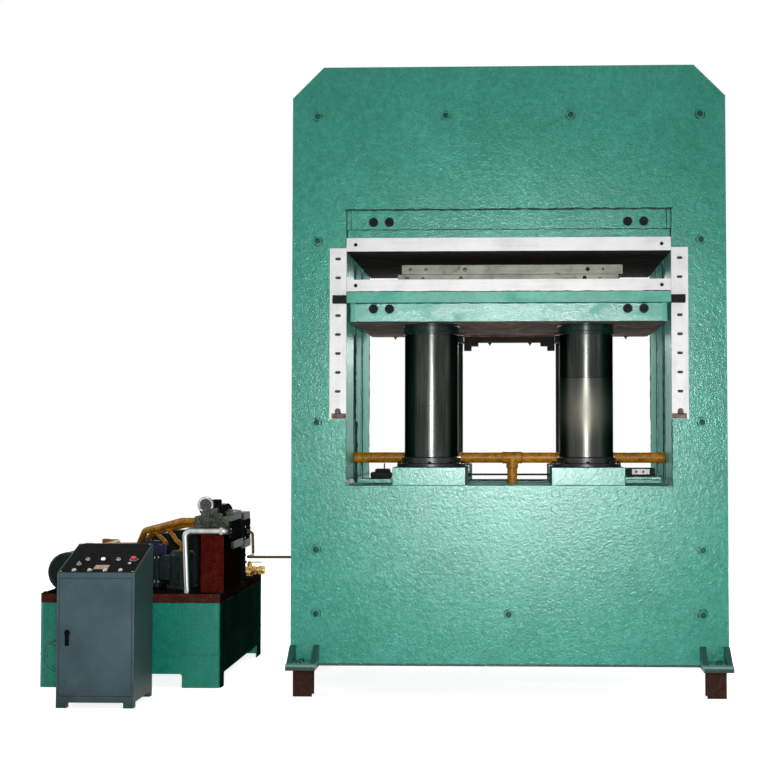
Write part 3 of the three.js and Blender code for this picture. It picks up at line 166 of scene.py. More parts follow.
EYE_HEIGHT, TILT_UP, TURN_LEFT = 1.50, 2.43, 1.93
photographer = bpy.data.cameras.new("photographer")
photographer.lens, photographer.sensor_width = 70.3125, 36.0
photographer.shift_x, photographer.shift_y = -0.106, -0.0151
tripod = bpy.data.objects.new("tripod", photographer)
bpy.context.scene.collection.objects.link(tripod)
tripod.location = (0.8195, -9.3225, EYE_HEIGHT)
tripod.rotation_euler = (math.radians(90 + TILT_UP), 0, math.radians(TURN_LEFT))
bpy.context.scene.camera = tripod
bpy.context.scene.view_settings.view_transform = "Standard"

floor_finish = Finish(
    bpy.data.materials.new("studio_floor"),
    "Principled BSDF",
    {
        "Base Color": (0.86, 0.86, 0.86),
        "Roughness": 0.9,
        "Specular IOR Level": 0.1,
        "Emission Color": (1.0, 1.0, 1.0),
    },
)
floor_finish.into(emission_strength=0.82 * floor_finish.seen())
floor_sheet = bpy.data.meshes.new("studio_floor")
FLOOR_REACH = 40
floor_sheet.from_pydata(
    [(x, y, -0.0005) for x, y in ((-1, -1), (1, -1), (1, 1), (-1, 1))], [], [(0, 1, 2, 3)]
)
floor_sheet.transform(Matrix.Diagonal((FLOOR_REACH, FLOOR_REACH, 1, 1)))
floor_sheet.materials.append(floor_finish.material)
studio_floor = bpy.data.objects.new("studio_floor", floor_sheet)
bpy.context.scene.collection.objects.link(studio_floor)

# Press frame: three packs of thick flame-cut window plates, tied together by long bolts with
# spacer sleeves. Alkyd paint, brushed on by hand over filler, so it is mottled and catches the
# light in specks. Bolt ends are painted over darker, with dark arcs round their heads that are
# partly dirt and compound and partly the heads' painted shadow.

PRESS_X = 0.776
FRONT_Y, REAR_Y = -0.6445, 0.7155
SILL_Z, WINDOW_TOP_Z = 1.214, 2.814
ALONG, BACK, UP, FORWARDS = (1, 0, 0), (0, 1, 0), (0, 0, 1), (0, -1, 0)


class Coating(Finish):
    """A finish of the machine, with the textures that its paints and metals share."""

    def __init__(self, name, constants=None):
        super().__init__(bpy.data.materials.new(name), "Principled BSDF", constants)
        self.place = self.node("ShaderNodeTexCoord", output="Object")

    def grain(self, per_metre, detail=4, harshness=0.55, stretch=(1, 1, 1), twist=0.0):
        """Cloudy texture, 0 to 1, its grains a metre apart divided by per_metre."""
        stretched = {0: self.place, 1: stretch}
        values = {
            "Vector": self.node("ShaderNodeVectorMath", {"operation": "MULTIPLY"}, stretched),
            "Scale": per_metre,
            "Detail": detail,
            "Roughness": harshness,
            "Distortion": twist,
        }
        return self.node("ShaderNodeTexNoise", values=values)

    def from_to(self, value, low, high):
        """Turns low to high into 0 to 1, easing in and out."""
        values = {"Value": value, "From Min": low, "From Max": high}
        return self.node("ShaderNodeMapRange", {"interpolation_type": "SMOOTHSTEP"}, values)

    def mix(self, share, first, second, how="MIX"):
        settings = {"data_type": "RGBA", "blend_type": how}
        return self.node("ShaderNodeMix", settings, {0: share, 6: first, 7: second}, 2)

    def tones(self, value, *stops):
        return self.node("ShaderNodeValToRGB", {"stops": stops}, {0: value})

    def part(self, vector, axis):
        return self.node("ShaderNodeSeparateXYZ", values={0: vector}, output=axis)

    def height(self):
        """How high a point stands over the floor, with the machine at rest."""
        return self.part(self.place, "Z")

    def facing(self, axis):
        """How far a face looks along an axis, -1 to 1."""
        return self.part(self.node("ShaderNodeNewGeometry", output="Normal"), axis)

    def off_front(self):
        """1 on the faces that look neither forwards nor back."""
        return abs(self.facing("Y")) < 0.5

    def edges(self, radius):
        """1 on sharp edges and in corners, within this radius, and the normal that rounds them."""
        rounded = self.node("ShaderNodeBevel", {"samples": 4}, {"Radius": radius})
        flat = self.node("ShaderNodeNewGeometry", output="Normal")
        along = self.node(
            "ShaderNodeVectorMath", {"operation": "DOT_PRODUCT"}, {0: rounded, 1: flat}, "Value"
        )
        return self.from_to(1 - along, 0.02, 0.22), rounded

    def relief(self, level, depth, rounded=None, strength=1.0):
        """Bump of this depth in metres, laid over the rounded normal."""
        values = {"Height": level, "Distance": depth, "Strength": strength}
        if rounded:
            values["Normal"] = rounded
        self.into(normal=self.node("ShaderNodeBump", values=values))


POLISH_REACH = 0.955
BRACKET_TOP_Z, SHELF_TOP_Z, SHELF_LOW_Z, PLATE_FOOT_Z = 0.30, 0.2125, 0.2000, 0.1920


def brushed_paint(
    name, deep, middle, pale, chip_and_shade, rough=0.30, level=0.4, brush=1.0, edge=0.003, wear=0.5,
    cut=0.0, side_shade=0.0, polished=0.0, tint=(1.0, 1.0, 1.0, 1.0), footed=False,
):
    """Paint put on with a brush or roller: cloudy, speckled, chipped along the edges.

    The flame-cut faces, which look sideways, up or down, are rougher by cut and darker by the
    side shade share, which is painted shade; those that look up are rougher and darker still.
    Inside the window they are polished by passing moulds, to this share, and painted paler green,
    a painted light on walls that the lamps barely reach. A tint colours the gloss.
    A footed plate has corner brackets painted dark as painted shade, a pale band along the shelf,
    and a dark lower edge, a painted shadow line.
    """
    paint = Coating(name, {"Specular IOR Level": level, "Specular Tint": tint})
    clouds = paint.grain(2.2, 5, 0.62, twist=0.4)
    dabs = paint.grain(26, 5, 0.7)
    specks = paint.grain(85, 3, 0.6)
    tone = 0.3 * clouds + 0.36 * dabs + 0.34 * specks
    colour = paint.tones(tone, (0.39, deep), (0.5, middle), (0.61, pale))
    streaks = paint.from_to(paint.grain(9, 4, 0.6, (1, 1, 0.12)), 0.58, 0.74)
    colour = paint.mix(0.22 * streaks, colour, deep)
    edges, rounded = paint.edges(edge)
    chipped = edges * paint.from_to(paint.grain(38, 4, 0.7), 0.56, 0.62) * wear
    colour = paint.mix(chipped, colour, chip_and_shade)
    roughness = rough - 0.10 + 0.12 * dabs + 0.10 * specks + 0.2 * chipped
    # Faces that do not look forwards or back are darkened by the side shade share: painted shade.
    if cut or side_shade:
        sawn, upward = paint.off_front(), paint.facing("Z") > 0.7
        roughness = roughness + cut * sawn + 0.5 * upward
        colour = paint.mix(0.35 * upward, colour, chip_and_shade)
        drag = paint.grain(46, 3, 0.6, (1, 0.08, 1))
        colour = paint.mix(side_shade * sawn * (0.7 + 0.5 * drag), colour, chip_and_shade)
    # Window walls painted paler green: painted light on walls that the lamps barely reach.
    if polished:
        aside = abs(paint.part(paint.place, "X") - PRESS_X)
        inside = (paint.height() > SILL_Z + 0.045) * (paint.height() < WINDOW_TOP_Z) * paint.off_front()
        inside = inside * (aside < POLISH_REACH)
        colour = paint.mix(0.6 * inside, colour, rgb(104, 222, 196))
        paint.into(metallic=polished * inside)
    # Corner brackets and the plate's lower edge painted dark as painted shade, with a pale band along the
    # shelf.
    if footed:
        depth = abs(paint.part(paint.place, "Y") - (FRONT_Y + REAR_Y) / 2)
        bracket = (depth > (REAR_Y - FRONT_Y) / 2 + 0.002) * (paint.height() < BRACKET_TOP_Z)
        bracket_shading = paint.mix(paint.height() < SHELF_TOP_Z, rgb(14, 56, 48), rgb(104, 150, 138))
        bracket_shading = paint.mix(paint.height() < SHELF_LOW_Z, bracket_shading, rgb(20, 32, 28))
        colour = paint.mix(0.85 * bracket, colour, bracket_shading)
        colour = paint.mix(0.85 * (paint.height() < PLATE_FOOT_Z), colour, rgb(16, 28, 25))
    paint.into(base_color=colour, roughness=roughness)
    orange_peel = 0.60 * paint.grain(34, 5, 0.62) + 0.40 * paint.grain(120, 2, 0.5)
    paint.relief(orange_peel - 0.25 * chipped, 0.0016 * brush, rounded)
    return paint


plate_tones = (rgb(18, 121, 102), rgb(30, 139, 118), rgb(52, 156, 136), rgb(20, 54, 46))
plate_look = {"tint": (0.88, 0.99, 0.96, 1.0), "footed": True}
press_green = brushed_paint(
    "press_green", *plate_tones, rough=0.22, level=0.45, brush=2.0, cut=0.16, polished=0.30, **plate_look
)
rear_green = brushed_paint(
    "rear_green", *plate_tones, rough=0.24, level=0.35, brush=1.5, cut=0.40, side_shade=0.05, polished=0.20,
    **plate_look,
)
pack_green = brushed_paint(
    "pack_green", rgb(24, 112, 95), rgb(36, 130, 112), rgb(54, 146, 128), rgb(20, 52, 45),
    rough=0.50, level=0.2, cut=0.10, polished=0.35,
)


def dress(finish, *names):
    """Puts a finish on CAD nodes that keep their own mesh."""
    for name in names:
        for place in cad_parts[name].material_slots:
            place.material = finish.material


class Form:
    """A mesh being made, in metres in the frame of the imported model."""

    def __init__(self):
        self.mesh = bmesh.new()

    def soften(self, corners, width, segments=2):
        """Rounds the sharp edges that these corners carry."""
        edges = {e for corner in corners for e in corner.link_edges if len(e.link_faces) == 2}
        sharp = [e for e in edges if e.calc_face_angle(0) > math.radians(30)]
        bmesh.ops.bevel(
            self.mesh, geom=sharp, offset=width, segments=segments, profile=0.6,
            affect="EDGES", clamp_overlap=True,
        )

    def block(self, low, high, rounding=0.002, pose=None):
        made = bmesh.ops.create_cube(self.mesh, size=1.0)["verts"]
        low, high = Vector(low), Vector(high)
        fit = Matrix.Translation((low + high) / 2) @ Matrix.Diagonal((*(high - low), 1))
        bmesh.ops.transform(self.mesh, matrix=(pose or Matrix()) @ fit, verts=made)
        if rounding:
            self.soften(made, rounding)

    def ring(self, points):
        return [self.mesh.verts.new(point) for point in points]

    def skin(self, rings, closed=False):
        """Joins rings of corners, one after the other; a ring of one corner is a tip."""
        pairs = list(zip(rings, rings[1:])) + ([(rings[-1], rings[0])] if closed else [])
        for one, two in pairs:
            steps = max(len(one), len(two))
            for i in range(steps):
                j = (i + 1) % steps
                if len(one) == 1:
                    face = (one[0], two[i], two[j])
                elif len(two) == 1:
                    face = (one[i], two[0], one[j])
                else:
                    face = (one[i], two[i], two[j], one[j])
                self.mesh.faces.new(face)

    def turned(self, profile, centre, axis=(0, 0, 1), steps=40, closed=False):
        """Revolves (radius, height) pairs; a pair with a third item is hexagonal there."""
        turn = Vector(axis).to_track_quat("Z", "Y").to_matrix()
        centre, rings = Vector(centre), []
        for radius, level, *flats in profile:
            points = []
            for i in range(steps if radius else 1):
                angle = 2 * math.pi * i / steps
                sixth = (angle % (math.pi / 3)) - math.pi / 6
                reach = radius * (math.cos(math.pi / 6) / math.cos(sixth) if flats else 1)
                spoke = Vector((reach * math.cos(angle), reach * math.sin(angle), level))
                points.append(centre + turn @ spoke)
            rings.append(self.ring(points))
        self.skin(rings, closed)

    def prism(self, outline, span, axis=2, rounding=0.0):
        """Extrudes an outline along X, Y or Z (0, 1, 2); its points are in the other two axes."""
        def point(pair, level):
            place = list(pair)
            place.insert(axis, level)
            return place
        ends = [self.ring([point(pair, level) for pair in outline]) for level in span]
        self.skin(ends)
        for end in ends:
            self.mesh.faces.new(end)
        if rounding:
            self.soften([corner for end in ends for corner in end], rounding)

    def tube(self, corners, radius, bend=0.0, steps=20, turns=8):
        """A round bar or pipe along corners that are bent to a radius; radius may be a function."""
        corners = [Vector(corner) for corner in corners]
        route = [corners[0]]
        for before, corner, after in zip(corners, corners[1:], corners[2:]):
            back, on = (before - corner).normalized(), (after - corner).normalized()
            half = back.angle(on) / 2
            reach = bend / math.tan(half) if bend else 0
            if not reach:
                route.append(corner)
                continue
            middle = corner + (back + on).normalized() * bend / math.sin(half)
            first, last = corner + back * reach - middle, corner + on * reach - middle
            whole = first.angle(last)
            for i in range(turns + 1):
                share = i / turns
                spoke = first * math.sin((1 - share) * whole) + last * math.sin(share * whole)
                route.append(middle + spoke / math.sin(whole))
        route.append(corners[-1])
        rings, side = [], None
        for i, point in enumerate(route):
            ahead = (route[min(i + 1, len(route) - 1)] - route[max(i - 1, 0)]).normalized()
            if side is None:
                side = ahead.orthogonal().normalized()
            side = (side - ahead * side.dot(ahead)).normalized()
            up = ahead.cross(side)
            size = radius(i) if callable(radius) else radius
            angles = [2 * math.pi * j / steps for j in range(steps)]
            spokes = [side * math.cos(angle) + up * math.sin(angle) for angle in angles]
            rings.append(self.ring([point + size * spoke for spoke in spokes]))
        self.skin([self.ring([route[0]]), *rings, self.ring([route[-1]])])

    def carve(self, tool):
        """Cuts another form out of this one."""
        pair = []
        for form in (self, tool):
            bmesh.ops.recalc_face_normals(form.mesh, faces=form.mesh.faces)
            body = bpy.data.objects.new("carving", bpy.data.meshes.new("carving"))
            form.mesh.to_mesh(body.data)
            bpy.context.scene.collection.objects.link(body)
            pair.append(body)
        cut = pair[0].modifiers.new("cut", "BOOLEAN")
        cut.object, cut.operation, cut.solver = pair[1], "DIFFERENCE", "EXACT"
        carved = pair[0].evaluated_get(bpy.context.evaluated_depsgraph_get()).to_mesh()
        self.mesh.clear()
        self.mesh.from_mesh(carved)
        for body in pair:
            bpy.data.objects.remove(body)


def make(name, form, finish, body="machine", stands_for=(), sharp=34):
    """Turns a form into a piece that rides on a body, and may stand for CAD nodes."""
    bmesh.ops.recalc_face_normals(form.mesh, faces=form.mesh.faces)
    mesh = bpy.data.meshes.new(name)
    form.mesh.to_mesh(mesh)
    form.mesh.free()
    mesh.shade_smooth()
    mesh.set_sharp_from_angle(angle=math.radians(sharp))
    mesh.materials.append(finish.material)
    piece = bpy.data.objects.new(name, mesh)
    bpy.context.scene.collection.objects.link(piece)
    even = piece.modifiers.new("even_shading", "WEIGHTED_NORMAL")
    even.keep_sharp = True
    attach(piece, body)
    if stands_for:
        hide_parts(*stands_for)
    return piece


dress(press_green, "front_frame")
dress(rear_green, "rear_frame")
dress(pack_green, "middle_frame")

TIE_SIDE, TIE_INNER, TIE_TOP_Z = 1.112, 0.364, 3.366
TIE_SIDE_HEIGHTS = (0.477, 0.845, 1.580, 2.635)
RAM_X, RAM_Y = (0.315, 1.237), (-0.3645, 0.4355)
ends, hands = ("front", "rear"), ("left", "right")
plate_faces = ((FRONT_Y, -1), (REAR_Y, 1))

tie_places = [(x, TIE_TOP_Z) for x in (-TIE_SIDE, -TIE_INNER, TIE_INNER, TIE_SIDE)]
tie_places += [(x, z) for z in TIE_SIDE_HEIGHTS for x in (-TIE_SIDE, TIE_SIDE)]
tie_places += [(0.0, TIE_SIDE_HEIGHTS[0])]
cylinder_bolt_places = [
    (ram + offset - PRESS_X, SILL_Z - depth)
    for ram in RAM_X for offset in (-0.19, 0.19) for depth in (0.046, 0.134)
]
cap = [(0, 0.0155), (0.0180, 0.0155), (0.0172, 0.0175), (0.0115, 0.0190), (0, 0.0190)]
stud = [(0, 0.0185), (0.0085, 0.0185), (0.0080, 0.0240), (0.0060, 0.0260), (0, 0.0260)]
plug = [(0, 0), (0.0170, 0), (0.0165, 0.0020), (0.0110, 0.0032), (0.0060, 0.0026), (0, 0.0026)]
bolt_green = brushed_paint(
    "bolt_green", rgb(7, 42, 36), rgb(11, 66, 56), rgb(30, 108, 93), rgb(14, 36, 31),
    rough=0.44, level=0.2, brush=0.5,
)


def even_finish(name, constants, cloud, stops, rough, bumps=None, edge=None):
    """A finish without chips: tones in a cloud of this grain.

    The roughness is a base and a share of a grain, and the bumps are a depth and a grain.
    """
    finish = Coating(name, constants)
    base, share, specks = rough
    finish.into(
        base_color=finish.tones(finish.grain(*cloud), *stops),
        roughness=base + share * finish.grain(specks),
    )
    if bumps:
        depth, *ripple = bumps
        finish.relief(finish.grain(*ripple), depth, finish.edges(edge)[1] if edge else None)
    return finish


# Dark beads in the joints: partly sealing compound, and partly painted shade where the gaps between plates
# would be dark.
compound_and_shade = even_finish(
    "dark_compound_and_shade", {"Specular IOR Level": 0.2}, (70, 4), ((0.4, rgb(14, 26, 23)), (0.62, rgb(40, 68, 60))),
    (0.62, 0.2, 120), (0.0015, 160, 3),
)


def smear_dirt_and_shadow(form, x, face, z, seed):
    """Three dark arcs round a bolt's head: dirt and compound, and partly its painted shadow."""
    hand = random.Random(seed)
    for start in (hand.uniform(150, 200), hand.uniform(290, 350), hand.uniform(60, 110)):
        reach, span = hand.uniform(0.0262, 0.0285), hand.uniform(40, 100)
        turns = [math.radians(start + span * i / 9) for i in range(10)]
        route = [(x + reach * math.cos(turn), face, z + reach * math.sin(turn)) for turn in turns]
        sizes = [hand.uniform(0.0010, 0.0030) for _ in route]
        form.tube(route, lambda i: sizes[i], steps=6)


for end, (face, out) in zip(ends, plate_faces):
    ties, plugs, dirt = Form(), Form(), Form()
    for number, (x, z) in enumerate(tie_places):
        for profile in (cap, stud):
            ties.turned(profile, (PRESS_X + x, face, z), (0, out, 0), 24)
        smear_dirt_and_shadow(dirt, PRESS_X + x, face, z, 500 + number)
    for x, z in cylinder_bolt_places:
        plugs.turned(plug, (PRESS_X + x, face, z), (0, out, 0), 24)
    make(f"tie_bolt_ends_{end}", ties, bolt_green)
    make(f"sill_plugs_{end}", plugs, press_green)
    make(f"tie_bolt_dirt_and_shadow_{end}", dirt, compound_and_shade)


def compound_and_shade_bead(form, start, stop, thickness, seed, wander=0.0016):
    """An uneven dark bead between two plates: partly sealing compound, pressed in by hand, and partly painted
    shade of the gap.
    """
    hand = random.Random(seed)
    start, stop = Vector(start), Vector(stop)
    count = max(6, int((stop - start).length / 0.028))
    along = (stop - start).normalized()
    lift = Vector((0, 0, 1)) if abs(along.z) < 0.5 else Vector((1, 0, 0))
    route = [
        start.lerp(stop, i / count) + lift * hand.uniform(-wander, wander) for i in range(count + 1)
    ]
    sizes = [thickness * hand.uniform(0.55, 1.25) for _ in range(count + 1)]
    form.tube(route, lambda i: sizes[i], steps=8)


frame_seams = Form()
seam_y = FRONT_Y - 0.0008
left_x, right_x = PRESS_X - 0.942, PRESS_X + 0.942
TOP_SEAM_Z, RAIL_TOP_Z, RAIL_LOW_Z, STRIP_Y = 2.815, 2.60, 1.60, -0.1160
# Dark beads round the window and along the sill, partly compound and partly painted shade; the two thick beads
# at the strip's depth stand for the shaded gap between the front and middle packs.
for start, stop, thickness, seed, wander in (
    ((left_x - 0.01, seam_y, 2.8165), (right_x + 0.012, seam_y, 2.8195), 0.0052, 11, 0.0026),
    ((left_x, seam_y, TOP_SEAM_Z), (left_x + 0.002, seam_y, RAIL_TOP_Z), 0.0026, 12, 0.0016),
    ((right_x, seam_y, TOP_SEAM_Z), (right_x - 0.001, seam_y, RAIL_TOP_Z), 0.0032, 13, 0.0016),
    ((left_x, seam_y, RAIL_LOW_Z), (left_x, seam_y, SILL_Z - 0.004), 0.0017, 14, 0.0016),
    ((right_x, seam_y, RAIL_LOW_Z), (right_x, seam_y, SILL_Z - 0.004), 0.0034, 15, 0.0016),
    ((left_x, seam_y, SILL_Z), (0.10, seam_y, SILL_Z), 0.0018, 16, 0.0016),
    ((1.452, seam_y, SILL_Z), (right_x, seam_y, SILL_Z), 0.0018, 17, 0.0016),
    ((left_x - 0.0072, STRIP_Y, 2.12), (left_x - 0.0072, STRIP_Y, 1.600), 0.0105, 18, 0.0004),
    ((left_x + 0.003, STRIP_Y, 1.590), (left_x + 0.003, STRIP_Y, SILL_Z), 0.0105, 19, 0.0020),
):
    compound_and_shade_bead(frame_seams, start, stop, thickness, seed, wander)
# Dark beads down the pack edges inside the window: painted shade of the gaps between the packs.
pack_edges = (
    (-0.4445, 0.0022), (-0.2450, 0.0050), (-0.1150, 0.0042),
    (0.1860, 0.0040), (0.3160, 0.0034), (0.7150, 0.0060),
)
for number, (y, thickness) in enumerate(pack_edges):
    for x in (left_x - 0.002, right_x + 0.002):
        compound_and_shade_bead(frame_seams, (x, y, 2.56), (x, y, SILL_Z), thickness, 190 + number, 0.0007)
make("frame_seam_compound_and_shade", frame_seams, compound_and_shade)

# Feet: four short lengths of wide-flange beam under the corner brackets, bolted down through the
# brackets. Rolled steel in red-brown primer, chipped and dusty where they meet the floor.

foot_primer = brushed_paint(
    "foot_primer", rgb(36, 20, 15), rgb(54, 31, 24), rgb(78, 48, 38), rgb(22, 16, 14),
    rough=0.74, level=0.12, brush=0.8, wear=0.7,
)
dress(foot_primer, *(f"foot_{end}_{hand}" for end in ends for hand in hands))


def bolt_head(form, place, axis, head, crown, washer=None, chamfer=None, steps=24):
    """A hexagon head on a washer, each a (radius, height) pair; the crown is its middle's height."""
    radius, tall = head
    profile, seat = [(0, 0)], 0
    if washer:
        broad, seat = washer
        profile += [(broad, 0), (broad, seat)]
    profile += [(radius, seat, 6), (radius, tall, 6)]
    if chamfer:
        profile.append((chamfer, crown, 6))
    form.turned([*profile, (0, crown)], place, axis, steps)


BRACKET_FACE_Z = 0.212
bracket_bolts = Form()
for x in (PRESS_X - 1.190, PRESS_X + 1.190):
    for y in (FRONT_Y - 0.10, REAR_Y + 0.10):
        for shift in (-0.030, 0.030):
            place = (x + shift * 0.2, y + shift, BRACKET_FACE_Z)
            bolt_head(bracket_bolts, place, UP, (0.0150, 0.013), 0.015, (0.017, 0.003), 0.0125)
make("bracket_bolts", bracket_bolts, press_green)

# Upper beam: a slab that fills the top of the window, held by black socket screws, with a plate
# under it that carries the platen. Steel fillers close its ends and it is painted with the
# frame; its joints carry dark beads, partly compound and partly painted shade in the gaps.

dress(press_green, "upper_beam")

black_steel = Coating("black_steel", {"Specular IOR Level": 0.08})
black_wear, black_round = black_steel.edges(0.002)
black_steel.into(
    base_color=black_steel.mix(
        0.6 * black_wear * black_steel.from_to(black_steel.grain(110), 0.45, 0.6),
        black_steel.tones(black_steel.grain(45), (0.35, rgb(10, 13, 13)), (0.65, rgb(26, 29, 28))),
        rgb(84, 84, 80),
    ),
    roughness=0.46 + 0.2 * black_steel.grain(60),
)
black_steel.relief(black_steel.grain(300, 2), 0.0005, black_round)


def socket_screw(form, place, axis, radius, height):
    """Cap screw with a hexagon socket."""
    key = 0.5 * radius
    form.turned([
        (0, 0), (radius, 0), (radius, height - 0.08 * radius), (0.92 * radius, height),
        (key, height, 6), (key, 0.45 * height, 6), (0, 0.4 * height),
    ], place, axis, 36)


def seat_ring(form, place, axis, radius):
    """The shallow counterbore lip round a screw head."""
    form.turned([
        (radius, 0.0), (radius * 1.17, 0.0), (radius * 1.17, 0.0015), (radius, 0.0015),
    ], place, axis, 36, closed=True)


BEAM_SCREW_Z, BEAM_LOW_Z = 2.744, 2.7005
beam_screws, beam_lips = Form(), Form()
for offset in (-0.785, -0.692, 0.692, 0.785):
    for face, out in plate_faces:
        place = (PRESS_X + offset, face, BEAM_SCREW_Z)
        socket_screw(beam_screws, place, (0, out, 0), 0.026, 0.012)
        seat_ring(beam_lips, place, (0, out, 0), 0.026)
make("upper_beam_screws", beam_screws, black_steel)
make("upper_beam_screw_seats", beam_lips, press_green)

BEAM_HALF, WINDOW_HALF = 0.9155, 0.9415
fillers = Form()
for x0, x1 in ((PRESS_X - WINDOW_HALF, PRESS_X - BEAM_HALF), (PRESS_X + BEAM_HALF, PRESS_X + WINDOW_HALF)):
    fillers.block((x0, FRONT_Y + 0.003, BEAM_LOW_Z), (x1, FRONT_Y + 0.055, 2.8130), 0.002)
    fillers.block((x0, REAR_Y - 0.055, BEAM_LOW_Z), (x1, REAR_Y - 0.003, 2.8130), 0.002)
make("upper_beam_fillers", fillers, press_green)

beam_seams = Form()
platen_left, platen_right = PRESS_X - 0.935, PRESS_X + 0.935
compound_and_shade_bead(beam_seams, (platen_left, seam_y, 2.7000), (platen_right, seam_y, BEAM_LOW_Z), 0.0024, 21)
compound_and_shade_bead(beam_seams, (platen_left, seam_y, 2.6470), (platen_right, seam_y, 2.6470), 0.0030, 22)
for x, seed in ((PRESS_X - BEAM_HALF, 23), (PRESS_X + BEAM_HALF, 24)):
    compound_and_shade_bead(beam_seams, (x, seam_y, 2.702), (x, seam_y, 2.812), 0.0021, seed)
make("upper_beam_compound_and_shade", beam_seams, compound_and_shade)

# Heated platens: thick ground steel plates, bright at their edges, dark brown on the face that
# looks down into the heat, partly scorched and partly painted shade. Small screws near the ends
# close the heating channels.


def bright_platen(name, dark_below):
    """Ground steel with a pale satin bloom, dark under the given height: partly scorched, partly painted shade.
    """
    steel = Coating(name, {"Specular IOR Level": 0.15})
    clouds = steel.grain(5, 4, 0.6)
    scratches = steel.grain(60, 3, 0.6, (0.05, 1, 1))
    smudge = steel.from_to(steel.grain(14, 5, 0.65, (0.4, 1, 1)), 0.60, 0.80)
    bright = steel.tones(
        0.6 * clouds + 0.4 * scratches,
        (0.3, rgb(190, 189, 189)), (0.5, rgb(211, 210, 211)), (0.7, rgb(224, 223, 224)),
    )
    bright = steel.mix(0.35 * smudge, bright, rgb(158, 148, 136))
    # Dark underside, partly scorched and partly painted shade.
    burnt_and_shaded = steel.tones(steel.grain(7, 6, 0.7), (0.35, rgb(20, 22, 18)), (0.7, rgb(62, 54, 42)))
    below = steel.height() < dark_below
    edges, rounded = steel.edges(0.0025)
    bright = steel.mix(0.5 * edges * steel.from_to(steel.grain(30), 0.5, 0.65), bright, rgb(120, 110, 100))
    steel.into(
        base_color=steel.mix(below, bright, burnt_and_shaded),
        roughness=0.42 + 0.14 * scratches + 0.5 * below,
        metallic=0.12 * (1 - below),
    )
    steel.relief(0.5 * scratches + 0.5 * steel.grain(200, 2), 0.0006, rounded)
    return steel


upper_platen_steel = bright_platen("upper_platen_steel", 2.5674)
lower_platen_steel = bright_platen("lower_platen_steel", 2.3350)
dress(upper_platen_steel, "upper_platen")
dress(lower_platen_steel, "lower_platen")

PLATEN_FRONT_Y, PLATEN_REAR_Y = -0.7045, 0.7755
for name, level, body in (("upper", 2.6059, "machine"), ("lower", 2.3691, "table")):
    plugs = Form()
    for x in (PRESS_X - 0.882, PRESS_X + 0.882):
        for face, out in ((PLATEN_FRONT_Y, -1), (PLATEN_REAR_Y, 1)):
            socket_screw(plugs, (x, face, level), (0, out, 0), 0.0105, 0.0035)
    make(f"{name}_platen_plugs", plugs, black_steel, body)

# Moving table: a heavy beam with a plate on it, lifted by the rams. Its faces are painted with
# the frame, its corner chamfers painted paler as a painted sheen, and its underside is left in
# brown-red primer, with the parts that hang below it painted near black as painted shade. A
# stepped bar stiffens its rear edge.


def table_paint(name, primed_below, gloss, level):
    """The frame's green, with chamfers painted paler as a painted sheen, over primer on the underside, with the
    parts below it painted near black as painted shade.
    """
    paint = Coating(name, {"Specular IOR Level": level})
    dabs, specks = paint.grain(24, 5, 0.7), paint.grain(90, 3, 0.6)
    tone = 0.45 * paint.grain(3, 5, 0.65, twist=0.5) + 0.35 * dabs + 0.2 * specks
    green = paint.tones(
        tone, (0.36, rgb(40, 130, 112)), (0.5, rgb(58, 150, 132)), (0.64, rgb(84, 170, 154))
    )
    primer = paint.tones(
        paint.grain(5, 6, 0.72, twist=0.8),
        (0.36, rgb(24, 14, 11)), (0.5, rgb(84, 52, 41)), (0.62, rgb(146, 108, 90)),
    )
    # The parts that hang below the underside are painted near black: painted shade.
    primer = paint.mix(paint.height() < primed_below - 0.006, primer, rgb(20, 13, 11))
    below = paint.height() < primed_below
    dull_strokes = paint.from_to(paint.grain(7, 4, 0.62, (0.7, 1, 1.6), 0.6), 0.50, 0.64)
    edges, rounded = paint.edges(0.004)
    chipped = 0.55 * edges * paint.from_to(paint.grain(34, 4, 0.7), 0.54, 0.62)
    aside = abs(paint.facing("X"))
    # Corner chamfers painted paler: a painted sheen where those faces miss the light.
    green = paint.mix(0.75 * (aside > 0.5) * (aside < 0.9), green, rgb(140, 214, 200))
    green = paint.mix(chipped, green, rgb(30, 52, 46))
    paint.into(
        base_color=paint.mix(below, green, primer),
        roughness=gloss + 0.12 * dabs + 0.08 * specks + 0.20 * dull_strokes + 0.7 * below,
    )
    paint.relief(0.6 * paint.grain(55, 4, 0.65) + 0.4 * paint.grain(150, 2), 0.0026, rounded)
    return paint


beam_paint = table_paint("moving_beam_paint", 2.1640, 0.13, 0.56)
plate_paint = table_paint("table_plate_paint", 2.2700, 0.24, 0.34)
dress(beam_paint, "moving_beam")
dress(plate_paint, "table_plate")

BEAM_FRONT_Y = -0.6645
under_bolt = [(0, 0), (0.011, 0, 6), (0.011, 0.009, 6), (0.005, 0.009), (0.005, 0.019), (0, 0.019)]
table_screws, table_lips, table_nubs = Form(), Form(), Form()
for offset in (-0.782, -0.689, 0.689, 0.782):
    place = (PRESS_X + offset, BEAM_FRONT_Y, 2.236)
    socket_screw(table_screws, place, FORWARDS, 0.026, 0.012)
    seat_ring(table_lips, place, FORWARDS, 0.026)
for x, top in ((0.017, 2.163), (0.646, 2.121), (0.913, 2.121), (1.549, 2.163)):
    table_nubs.turned(under_bolt, (x, 0.655, top), (0, 0, -1), 24)
make("moving_beam_screws", table_screws, black_steel, "table")
make("moving_beam_screw_seats", table_lips, beam_paint, "table")
make("moving_beam_under_bolts", table_nubs, black_steel, "table")

